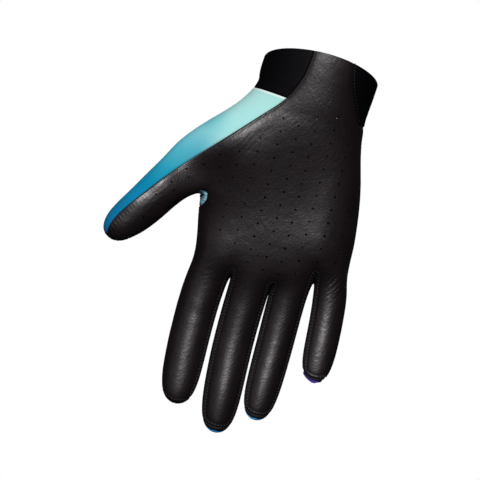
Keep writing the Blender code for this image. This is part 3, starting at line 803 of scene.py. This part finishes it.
# %% Draw the edges in
def draw_in(item, distance):
    """Moves the open edge of a panel inward along its surface."""
    mesh = bmesh.new()
    mesh.from_mesh(item.data)
    mesh.normal_update()
    moves = {}
    for vert in mesh.verts:
        inward = []
        for edge in vert.link_edges:
            if edge.is_boundary:
                step = vert.normal.cross(edge.other_vert(vert).co - vert.co).normalized()
                toward = edge.link_faces[0].calc_center_median() - vert.co
                inward.append(step if step.dot(toward) > 0 else -step)
        if inward:
            both = inward[0] + inward[-1]
            moves[vert] = both * distance * min(2 / both.length_squared, 2.0 / both.length)
    for vert, move in moves.items():
        vert.co += move
    mesh.to_mesh(item.data)
    mesh.free()
    return len(moves)


HAIR = 0.03 * MM
for number in (BACK, SIDE_A, SIDE_B, SIDE_C):
    print(panels[number].name, "edge points drawn in:", draw_in(panels[number], HAIR))

# %% [markdown]
# ## Thread
# A topstitch runs round each finger about two millimetres inside the leather's edge. The index finger
# has leather over its whole tip, so there a short arc of stitches goes across it. A dark row follows
# the thumb's seam, and a fine one the cuff's edge on the far side. The stitch is modelled once, from a
# sphere drawn out to a short sunk loop, and copied along each path. A path is a seam's own chain of
# points, set off to one side on the surface of the panel.

# %% One stitch
bpy.ops.object.select_all(action="DESELECT")
bpy.ops.mesh.primitive_uv_sphere_add(segments=8, ring_count=5, radius=0.5)
stitch = bpy.context.object
stitch.name = "stitch"
bpy.ops.object.mode_set(mode="EDIT")
bpy.ops.mesh.select_all(action="SELECT")
STITCH_SIZE = (1.7 * MM, 0.50 * MM, 0.36 * MM)
END_SINKS = 0.10 * MM
bpy.ops.transform.resize(value=STITCH_SIZE)
bpy.ops.object.mode_set(mode="OBJECT")
stitch_points = read_points(stitch.data).copy()
stitch_points[:, 2] -= END_SINKS * (stitch_points[:, 0] / (0.85 * MM)) ** 2
stitch_faces = [tuple(polygon.vertices) for polygon in stitch.data.polygons]
bpy.data.objects.remove(stitch, do_unlink=True)
print("a stitch has", len(stitch_faces), "faces")


# %% Seam paths
def seam_chains(wanted):
    """Chains of vertex numbers of the skin along the seams between the wanted pairs of panels."""
    links = {}
    for (a, b), pair in seam_edges.items():
        if pair in wanted:
            links.setdefault(a, []).append(b)
            links.setdefault(b, []).append(a)
    chains, done = [], set()
    starts = [v for v, near in links.items() if len(near) != 2] + list(links)
    for start in starts:
        for following in links[start]:
            if (start, following) in done:
                continue
            chain = [start, following]
            done.update({(start, following), (following, start)})
            while len(links[chain[-1]]) == 2:
                ahead = [v for v in links[chain[-1]] if v != chain[-2]][0]
                if (chain[-1], ahead) in done:
                    break
                done.update({(chain[-1], ahead), (ahead, chain[-1])})
                chain.append(ahead)
            chains.append(chain)
    return chains


def inset_path(tree, chain, inset):
    """The places on a panel at a distance inside the seam that a chain of vertices follows."""
    path = []
    for k, vertex in enumerate(chain):
        here = Vector(points[vertex])
        ahead = Vector(points[chain[min(k + 1, len(chain) - 1)]])
        behind = Vector(points[chain[max(k - 1, 0)]])
        normal = tree.find_nearest(here)[1]
        side = normal.cross(ahead - behind).normalized()
        tests = [tree.find_nearest(here + side * inset * way)[0] for way in (1, -1)]
        gaps = [(here + side * inset * way - test).length for way, test in zip((1, -1), tests)]
        path.append(tests[0] if gaps[0] < gaps[1] else tests[1])
    eased = [(path[k - 1] + path[k] * 2 + path[k + 1]) / 4 for k in range(1, len(path) - 1)]
    return [path[0]] + eased + [path[-1]]


def lay_stitches(name, tree, paths, pitch, scale, sink):
    """Copies of the stitch along the paths, square to the surface of a panel."""
    made_points, made_faces = [], []
    for path in paths:
        walked, target = 0.0, pitch / 2
        for first, last in zip(path, path[1:]):
            length = (last - first).length
            while length and walked + length >= target:
                place = first.lerp(last, (target - walked) / length)
                spot, normal, index, distance = tree.find_nearest(place)
                along = (last - first).normalized()
                normal = (normal - along * normal.dot(along)).normalized()
                turn = np.array((along, normal.cross(along), normal)).T
                start = len(made_points) * len(stitch_points)
                made_points.append((stitch_points * scale) @ turn.T + np.array(spot - normal * sink * MM))
                made_faces += [tuple(v + start for v in face) for face in stitch_faces]
                target += pitch
            walked += length
    data = bpy.data.meshes.new(name)
    data.from_pydata(np.concatenate(made_points).tolist(), [], made_faces)
    data.update()
    made = bpy.data.objects.new(name, data)
    bpy.context.scene.collection.objects.link(made)
    print(name, "stitches:", len(made_points))
    return made


# %% Lay the thread
PITCH = 2.0 * MM
FINGER_INSET, THUMB_INSET, CUFF_INSET = 1.9 * MM, 1.15 * MM, 1.2 * MM
INDEX_TIP = (-33.9 * MM, 9.6 * MM, -210.0 * MM, 4.0 * MM)  # x, half width, z and drop of the arc
leather_tree = BVHTree.FromObject(panels[PALM], bpy.context.evaluated_depsgraph_get())
foam_tree = BVHTree.FromObject(panels[WRAP], bpy.context.evaluated_depsgraph_get())
finger_chains = seam_chains([(PALM, SIDE_A), (PALM, SIDE_B), (PALM, SIDE_C)])
finger_paths = [inset_path(leather_tree, chain, FINGER_INSET) for chain in finger_chains]
tip_x, tip_half, tip_z, tip_arc = INDEX_TIP
tip_path = []
for k in range(25):
    share = k / 12 - 1
    from_front = Vector((tip_x + tip_half * share, -0.2, tip_z - tip_arc * (1 - share ** 2)))
    spot = leather_tree.ray_cast(from_front, Vector((0, 1, 0)))[0]
    tip_path += [spot] if spot else []
finger_paths.append(tip_path)
thumb_paths = [inset_path(leather_tree, chain, THUMB_INSET) for chain in seam_chains([(PALM, BACK)])]
cuff_chains = [chain for chain in seam_chains([(PALM, WRAP)]) if points[chain[len(chain) // 2]][0] > 0]
cuff_paths = [inset_path(foam_tree, chain, CUFF_INSET) for chain in cuff_chains]
finger_thread = lay_stitches("finger_topstitch", leather_tree, finger_paths, PITCH, 0.72, 0.0)
thumb_thread = lay_stitches("thumb_topstitch", leather_tree, thumb_paths, PITCH, 0.80, 0.05)
cuff_thread = lay_stitches("cuff_topstitch", foam_tree, cuff_paths, PITCH, 0.50, 0.04)

# %% [markdown]
# ## Walls
# The Solidify modifier gives each panel its real thickness, inwards, so the outside keeps its size:
# 1.3 mm of leather, 1.2 mm of knit and 2.2 mm of foam rubber. It also gives the inside and the cut edge
# material slots of their own, because a lining and a raw edge look different from the outside.

# %% Thicken the panels
WALLS = (1.3, 1.2, 2.2, 1.2, 1.2, 1.2)


def triangles(item):
    return sum(len(polygon.vertices) - 2 for polygon in item.data.polygons)


for number, item in panels.items():
    pick(item)
    wall = item.modifiers.new("wall", "SOLIDIFY")
    wall.thickness = WALLS[number] * MM
    wall.offset = -1
    wall.use_even_offset = False
    item.data.materials.clear()
    for part in ("outside", "inside", "edge"):
        item.data.materials.append(bpy.data.materials.new(f"{item.name}_{part}"))
    wall.material_offset = 1
    wall.material_offset_rim = 2
    bpy.ops.object.modifier_apply(modifier="wall")
    print(item.name, "triangles:", triangles(item))

# %% [markdown]
# ## Holes in the palm
# The palm is punched for air, in slightly fanned columns. Each punch is a short twelve-sided cylinder
# set square to the leather, and all of them are taken away in one exact Boolean, so the holes are
# really open. A round hole needs no more sides at this size. They are a little wider here than in the
# CAD source, because a finer hole would vanish in the picture.

# %% Punch the holes
HOLE_COLUMNS = (
    # wrist_x, finger_x, first_z, count
    (-0.350, -0.345, -0.300, 7),
    (-0.250, -0.238, -0.245, 10),
    (-0.148, -0.133, -0.170, 12),
    (-0.052, -0.030, -0.140, 13),
    (0.050, 0.065, -0.142, 13),
    (0.165, 0.165, -0.125, 13),
    (0.275, 0.275, -0.155, 11),
    (0.378, 0.382, -0.305, 7),
)
THUMB_HOLES = (
    # first_x, first_z, last_x, last_z, count
    (-0.460, -0.325, -0.420, -0.400, 3),
    (-0.540, -0.365, -0.805, -0.565, 5),
    (-0.632, -0.392, -0.768, -0.489, 3),
)
HOLE_PITCH = 8.1 * MM
HOLE_RADIUS = 0.70 * MM  # in the middle of the palm
EDGE_HOLE = 0.85  # a hole away from the middle, as a share of HOLE_RADIUS
HOLE_MIDDLE = (0.05, -0.38, 0.25)  # x, z and reach of that middle, as shares
STRAIGHT_FROM = 6  # a column leans over its first holes and runs straight down from this one
holes = []
for wrist_x, finger_x, first_z, count in HOLE_COLUMNS:
    for k in range(count):
        x = mix(wrist_x, finger_x, min(1.0, k / STRAIGHT_FROM)) * BREADTH
        z = first_z * LENGTH - k * HOLE_PITCH
        off = math.hypot(x / BREADTH - HOLE_MIDDLE[0], z / LENGTH - HOLE_MIDDLE[1])
        holes.append((x, z, HOLE_RADIUS * (1.0 if off < HOLE_MIDDLE[2] else EDGE_HOLE)))
for first_x, first_z, last_x, last_z, count in THUMB_HOLES:
    for k in range(count):
        x, z = (mix(a, b, k / (count - 1)) for a, b in ((first_x, last_x), (first_z, last_z)))
        holes.append((x * BREADTH, z * LENGTH, HOLE_RADIUS * EDGE_HOLE))

leather = panels[PALM]
tree = BVHTree.FromObject(leather, bpy.context.evaluated_depsgraph_get())
punches = bmesh.new()
for x, z, radius in holes:
    spot, normal, index, distance = tree.ray_cast(Vector((x, -0.5, z)), Vector((0, 1, 0)))
    turn = Matrix.Translation(spot) @ normal.to_track_quat("Z", "Y").to_matrix().to_4x4()
    bmesh.ops.create_cone(
        punches, cap_ends=True, segments=12, radius1=radius, radius2=radius, depth=7 * MM, matrix=turn
    )
punch_mesh = bpy.data.meshes.new("punches")
punches.to_mesh(punch_mesh)
punches.free()
punch = bpy.data.objects.new("punches", punch_mesh)
bpy.context.scene.collection.objects.link(punch)
pick(leather)
cut = leather.modifiers.new("holes", "BOOLEAN")
cut.operation = "DIFFERENCE"
cut.solver = "EXACT"
cut.object = punch
bpy.ops.object.modifier_apply(modifier="holes")
bpy.data.objects.remove(punch, do_unlink=True)
print("holes:", len(holes), "triangles:", triangles(leather))

# %% [markdown]
# ## Fewer faces inside, and smooth shading
# The inside is hardly seen, so its faces are thinned out with Decimate, and the outside keeps all of
# its shape. Shading smooth by angle then keeps the cut edges crisp.

# %% Thin out the linings
LINING_KEPT = 0.2
for item in panels.values():
    pick(item)
    bpy.ops.object.mode_set(mode="EDIT")
    bpy.ops.mesh.select_all(action="DESELECT")
    item.active_material_index = 1
    bpy.ops.object.material_slot_select()
    bpy.ops.mesh.decimate(ratio=LINING_KEPT)
    bpy.ops.object.mode_set(mode="OBJECT")
    print(item.name, "triangles:", triangles(item))

# %% Smooth shading
CRISP = math.radians(50)
pieces = list(panels.values()) + [finger_thread, thumb_thread, cuff_thread]
for item in pieces:
    pick(item)
    bpy.ops.object.shade_smooth_by_angle(angle=CRISP)
print("smooth pieces:", len(pieces), "triangles in all:", sum(triangles(item) for item in pieces))

# %% [markdown]
# ## Colours and surfaces
# Each material starts from what the real one is. Colours are given as they look on screen, in hex,
# and turned into the linear values that Cycles works in. Patterns read the object's own coordinates,
# so they stay on the glove when it is seen from another side, and their scale comes from a real size.


# %% Material helpers
def linear(code):
    """An sRGB hex colour as linear RGBA."""
    parts = [int(code[k:k + 2], 16) / 255 for k in (1, 3, 5)]
    return [((c + 0.055) / 1.055) ** 2.4 if c > 0.04045 else c / 12.92 for c in parts] + [1.0]


def node(tree, kind, settings=(), **links):
    """Adds a node. Settings are attributes or input values, links name an input and a source socket."""
    made = tree.nodes.new(kind)
    for name, value in dict(settings).items():
        if name in made.inputs.keys():
            made.inputs[name].default_value = value
        else:
            setattr(made, name, value)
    for name, source in links.items():
        tree.links.new(source, made.inputs[name.replace("_", " ")])
    return made


def new_material(name, colour, roughness, **settings):
    material = bpy.data.materials.new(name)
    material.use_nodes = True
    shader = material.node_tree.nodes["Principled BSDF"]
    shader.inputs["Base Color"].default_value = linear(colour)
    shader.inputs["Roughness"].default_value = roughness
    for key, value in settings.items():
        shader.inputs[key.replace("_", " ")].default_value = value
    return material, material.node_tree, shader


def set_stops(band, stops):
    """Gives a colour band its places and colours."""
    while len(band.elements) < len(stops):
        band.elements.new(0.5)
    for element, (position, code) in zip(band.elements, stops):
        element.position = position
        element.color = linear(code)


print("black as linear values:", [round(v, 4) for v in linear("#0D080A")[:3]])

# %% [markdown]
# ## Microfibre leather
# The palm is microfibre leather: a polyurethane skin, cast on paper with a fine pebbled grain, on a felt
# of very fine fibres. To the eye it is a warm black with a broad soft highlight. Two sizes of noise
# make it. The fine one is the grain, in the bump and the roughness. The other is stretched along one
# direction, turned as the creases of a bent palm lie, and shows only as far as the stored amount says.
# The real grain is finer than a pixel, so it is drawn about twice as coarse as it is.

# %% Soft synthetic leather
GRAIN, CLOUD = 1.3 * MM, 14 * MM
CREASE_TURN, CREASE_SIZE = math.radians(35), (0.85 * MM, 0.85 * MM, 3.2 * MM)
leather_look, tree, shader = new_material("microfibre_leather", "#110B0C", 0.37, Specular_IOR_Level=0.6)
place = node(tree, "ShaderNodeTexCoord").outputs["Object"]
grain = {"Scale": 1 / GRAIN, "Detail": 2.0, "Roughness": 0.6}
fine = node(tree, "ShaderNodeTexNoise", grain, Vector=place)
cloud = {"Scale": 1 / CLOUD, "Detail": 3.0, "Roughness": 0.5}
broad = node(tree, "ShaderNodeTexNoise", cloud, Vector=place)
colour = node(tree, "ShaderNodeValToRGB", Fac=broad.outputs["Fac"])
set_stops(colour.color_ramp, ((0.3, "#0D080A"), (0.7, "#140D11")))
tree.links.new(colour.outputs["Color"], shader.inputs["Base Color"])
rough = node(tree, "ShaderNodeMapRange", {"To Min": 0.32, "To Max": 0.45}, Value=fine.outputs["Fac"])
tree.links.new(rough.outputs["Result"], shader.inputs["Roughness"])
stretch = {"vector_type": "TEXTURE", "Rotation": (0, CREASE_TURN, 0), "Scale": CREASE_SIZE}
turned = node(tree, "ShaderNodeMapping", stretch, Vector=place).outputs["Vector"]
wrinkle = {"Scale": 1.0, "Detail": 2.0, "Roughness": 0.55, "Distortion": 0.5}
creases = node(tree, "ShaderNodeTexNoise", wrinkle, Vector=turned)
amount = node(tree, "ShaderNodeAttribute", {"attribute_name": "creasing"})
crease_height = {"Height": creases.outputs["Fac"], "Strength": amount.outputs["Fac"]}
creased = node(tree, "ShaderNodeBump", {"Distance": 0.22 * MM}, **crease_height)
grain_height = {"Height": fine.outputs["Fac"], "Normal": creased.outputs["Normal"]}
bump = node(tree, "ShaderNodeBump", {"Strength": 0.5, "Distance": 0.17 * MM}, **grain_height)
tree.links.new(bump.outputs["Normal"], shader.inputs["Normal"])
print(leather_look.name, "nodes:", len(tree.nodes))

# %% [markdown]
# ## Printed stretch knit
# The back is a jersey of polyester and elastane, knitted and then printed by heat transfer. Its fine
# loops scatter the light, so it looks matt and bright, with hardly a highlight. The print is a blend by
# height: one for the thumb's side, which shows in the picture, and a plainer one for the back of the
# hand, which we can't see. Two more blends mix them by the distance from the thumb and bring in violet
# at the little finger. The loops are drawn a millimetre wide, about twice their real size, to show.

# %% Printed stretch knit
THUMB_DYE = (
    (0.0, "#86B2AA"), (0.09, "#75BEBD"), (0.155, "#67B8B7"), (0.22, "#61B6C1"),
    (0.3, "#75BEC4"), (0.36, "#64B3C1"), (0.43, "#4BA9B9"), (0.56, "#1B8FA9"),
    (0.66, "#0181A6"), (0.8, "#0476A0"), (0.92, "#056A98"), (1.0, "#06689A"),
)
HAND_DYE = (
    (0.0, "#A4D8D2"), (0.15, "#98D4D2"), (0.32, "#B2DCE6"), (0.45, "#90CCE2"),
    (0.62, "#5CB4DE"), (0.80, "#36A0DC"), (1.0, "#2090DA"),
)
settings = {"Specular_IOR_Level": 0.12, "Sheen_Weight": 0.04, "Sheen_Roughness": 0.4}
knit_look, tree, shader = new_material("printed_stretch_knit", "#7FD6DC", 0.80, **settings)
place = node(tree, "ShaderNodeTexCoord").outputs["Object"]
apart = node(tree, "ShaderNodeSeparateXYZ", Vector=place)
x_of, z_of = apart.outputs["X"], apart.outputs["Z"]
thumb_down = node(tree, "ShaderNodeMapRange", {"From Min": -20 * MM, "From Max": -130 * MM}, Value=z_of)
thumb_dye = node(tree, "ShaderNodeValToRGB", Fac=thumb_down.outputs["Result"])
set_stops(thumb_dye.color_ramp, THUMB_DYE)
hand_down = node(tree, "ShaderNodeMapRange", {"From Min": -20 * MM, "From Max": -220 * MM}, Value=z_of)
hand_dye = node(tree, "ShaderNodeValToRGB", Fac=hand_down.outputs["Result"])
set_stops(hand_dye.color_ramp, HAND_DYE)
to_thumb = {"From Min": -42 * MM, "From Max": -60 * MM, "interpolation_type": "SMOOTHSTEP"}
thumbward = node(tree, "ShaderNodeMapRange", to_thumb, Value=x_of).outputs["Result"]
dyes = {"Factor": thumbward, "A": hand_dye.outputs["Color"], "B": thumb_dye.outputs["Color"]}
both = node(tree, "ShaderNodeMix", {"data_type": "RGBA"}, **dyes).outputs["Result"]
to_little = {"From Min": 22 * MM, "From Max": 36 * MM, "interpolation_type": "SMOOTHSTEP"}
littleward = node(tree, "ShaderNodeMapRange", to_little, Value=x_of)
lower = node(tree, "ShaderNodeMapRange", {"From Min": -110 * MM, "From Max": -165 * MM}, Value=z_of)
violet = node(tree, "ShaderNodeMath", {"operation": "MULTIPLY"})
tree.links.new(littleward.outputs["Result"], violet.inputs[0])
tree.links.new(lower.outputs["Result"], violet.inputs[1])
violet_dye = {"data_type": "RGBA", "B": linear("#5B48A8")}
dyed = node(tree, "ShaderNodeMix", violet_dye, Factor=violet.outputs[0], A=both).outputs["Result"]
hem = node(tree, "ShaderNodeAttribute", {"attribute_name": "hem edge"})
bare_edge = {"data_type": "RGBA", "B": linear("#D9E6E0")}
hemmed = node(tree, "ShaderNodeMix", bare_edge, Factor=hem.outputs["Fac"], A=dyed)
tree.links.new(hemmed.outputs["Result"], shader.inputs["Base Color"])
wales = node(tree, "ShaderNodeTexVoronoi", {"Scale": 1 / (1.0 * MM)}, Vector=place)
knit_bump = {"Strength": 0.5, "Distance": 0.16 * MM}
bump = node(tree, "ShaderNodeBump", knit_bump, Height=wales.outputs["Distance"])
tree.links.new(bump.outputs["Normal"], shader.inputs["Normal"])
print(knit_look.name, "nodes:", len(tree.nodes))

# %% [markdown]
# ## Foam rubber
# The cuff is foam rubber with a smooth fabric glued on under heat. It is a deeper black than the
# leather and throws back almost no light, because the fabric's short fibres swallow it. A faint
# unevenness of a few millimetres comes from the cells of the foam underneath.

# %% Foam rubber
foam_look, tree, shader = new_material("laminated_foam_rubber", "#050406", 0.58, Specular_IOR_Level=0.07)
place = node(tree, "ShaderNodeTexCoord").outputs["Object"]
fine = node(tree, "ShaderNodeTexNoise", {"Scale": 1 / (0.8 * MM), "Detail": 2.0}, Vector=place)
broad = node(tree, "ShaderNodeTexNoise", {"Scale": 1 / (6 * MM), "Detail": 2.0}, Vector=place)
cells = {"Strength": 0.3, "Distance": 0.25 * MM}
ripple = node(tree, "ShaderNodeBump", cells, Height=broad.outputs["Fac"])
nap = {"Height": fine.outputs["Fac"], "Normal": ripple.outputs["Normal"]}
bump = node(tree, "ShaderNodeBump", {"Strength": 0.25, "Distance": 0.08 * MM}, **nap)
tree.links.new(bump.outputs["Normal"], shader.inputs["Normal"])
print(foam_look.name, "nodes:", len(tree.nodes))

# %% [markdown]
# ## Black knit, thread, lining and cut edges
# The strips between the fingers are the same jersey as the back, dyed black, so only a soft sheen on
# its loops shows. The thread is bonded nylon, twisted and waxed, and black, with a small real gloss.
# On the fingers and the cuff its colour is painted dark grey as well: a painted highlight for the gloss
# on its twists, which makes a row of fine dots. On the thumb, where it sinks into the seam, it is black.
# The inside is brushed, which makes it dull. A raw edge shows the felt of the leather, duller and
# darker than its skin.

# %% Black knit, thread, lining and cut edges
black_knit, tree, shader = new_material("black_side_knit", "#0C0A0B", 0.70, Specular_IOR_Level=0.25)
place = node(tree, "ShaderNodeTexCoord").outputs["Object"]
loops = node(tree, "ShaderNodeTexVoronoi", {"Scale": 1 / (0.8 * MM)}, Vector=place)
loop_bump = {"Strength": 0.5, "Distance": 0.15 * MM}
bump = node(tree, "ShaderNodeBump", loop_bump, Height=loops.outputs["Distance"])
tree.links.new(bump.outputs["Normal"], shader.inputs["Normal"])
# The real thread is black. This dark grey is a painted highlight for the gloss on its twists.
thread_painted_highlight_look = new_material("bonded_nylon_thread", "#464142", 0.45, Specular_IOR_Level=0.4)[0]
dark_thread = new_material("bonded_nylon_thread_black", "#171415", 0.50, Specular_IOR_Level=0.3)[0]
brushed = {"Specular_IOR_Level": 0.2, "Sheen_Weight": 0.1}
lining_look = new_material("brushed_lining", "#161517", 0.85, **brushed)[0]
edge_look = new_material("raw_cut_edge", "#0A090A", 0.90, Specular_IOR_Level=0.1)[0]
print("looks:", [look.name for look in (black_knit, thread_painted_highlight_look, dark_thread, lining_look, edge_look)])

# %% [markdown]
# ## Dressing the pieces
# Each panel gets its outside, lining and edge materials, rides on the glove's one body and takes the
# place of its plain CAD solid. The stitches get their thread and ride on the same body. Their table
# lists the piece that each row is sewn into, which nothing here uses.

# %% Dress the pieces
BODY = sorted(frame["bodies"])[0]
LOOKS = (leather_look, knit_look, foam_look, black_knit, black_knit, black_knit)
NODES = (
    "palm_leather",
    "back_fabric",
    "cuff_wrap",
    "sidewall_index_middle",
    "sidewall_middle_ring",
    "sidewall_ring_little",
)
for number, item in panels.items():
    item.data.materials.clear()
    for look in (LOOKS[number], lining_look, edge_look):
        item.data.materials.append(look)
    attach(item, BODY)
    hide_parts(NODES[number])
STITCHES = (
    # stitches, look, the piece they belong to
    (finger_thread, thread_painted_highlight_look, "palm_leather"),
    (thumb_thread, dark_thread, "palm_leather"),
    (cuff_thread, thread_painted_highlight_look, "cuff_wrap"),
)
for thread, look, slot in STITCHES:
    thread.data.materials.append(look)
    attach(thread, BODY)
print("dressed:", len(panels), "panels and", len(STITCHES), "rows of stitches on", BODY)

# %% [markdown]
# ## Stage and light
# The floor is pale and far below. Dark leather is lit the way a photographer lights it: one large soft
# lamp above the lens, which draws a broad light down the middle of each finger, and nearly nothing from
# the sides, so that the fingers fall off to black. A studio hangs black cards for that. Here the
# surround is white for the camera and dim for the leather, and the floor throws no light back. A very
# weak lamp from the left opens the shadows, and one behind, hidden from the camera, lights the back.

# %% Stage
bpy.ops.object.select_all(action="DESELECT")
bpy.ops.mesh.primitive_plane_add(size=3, location=(0, 0, -0.6))
floor = bpy.context.object
floor.name = "studio_floor"
floor.data.materials.append(new_material("pale_floor", "#F2F2F2", 0.9)[0])
floor.visible_glossy = False
floor.visible_diffuse = False
world = bpy.data.worlds.new("studio")
bpy.context.scene.world = world
world.use_nodes = True
tree = world.node_tree
tree.nodes.clear()
seen = node(tree, "ShaderNodeBackground", {"Color": (1, 1, 1, 1), "Strength": 1.0})
around = node(tree, "ShaderNodeBackground", {"Color": (1, 1, 1, 1), "Strength": 0.022})
rays = node(tree, "ShaderNodeLightPath")
blend = node(tree, "ShaderNodeMixShader", Fac=rays.outputs["Is Camera Ray"])
tree.links.new(around.outputs[0], blend.inputs[1])
tree.links.new(seen.outputs[0], blend.inputs[2])
node(tree, "ShaderNodeOutputWorld", Surface=blend.outputs[0])
bpy.context.scene.view_settings.view_transform = "Standard"
print("stage:", floor.name, world.name)

# %% Lamps
LAMP_COLOUR = (1.0, 0.95, 0.975)
CENTRE = (-0.02, 0.0, -0.11)


def soft_lamp(name, place, size, power):
    """A round soft lamp that is turned to the middle of the glove."""
    bpy.ops.object.light_add(type="AREA", location=place)
    lamp = bpy.context.object
    lamp.name = name
    lamp.data.shape = "DISK"
    lamp.data.size = size
    lamp.data.energy = power
    lamp.data.color = LAMP_COLOUR
    lamp.rotation_euler = (Vector(CENTRE) - Vector(place)).to_track_quat("-Z", "Y").to_euler()
    return lamp


key = soft_lamp("key", (-0.14, -1.13, 0.56), 0.42, 20)
fill = soft_lamp("fill", (-0.9, -0.8, 0.1), 0.7, 0.4)
behind = soft_lamp("behind", (-0.1, 1.25, 0.35), 0.6, 9)
behind.visible_camera = False
print("lamps in watts:", {lamp.name: round(lamp.data.energy, 1) for lamp in (key, fill, behind)})
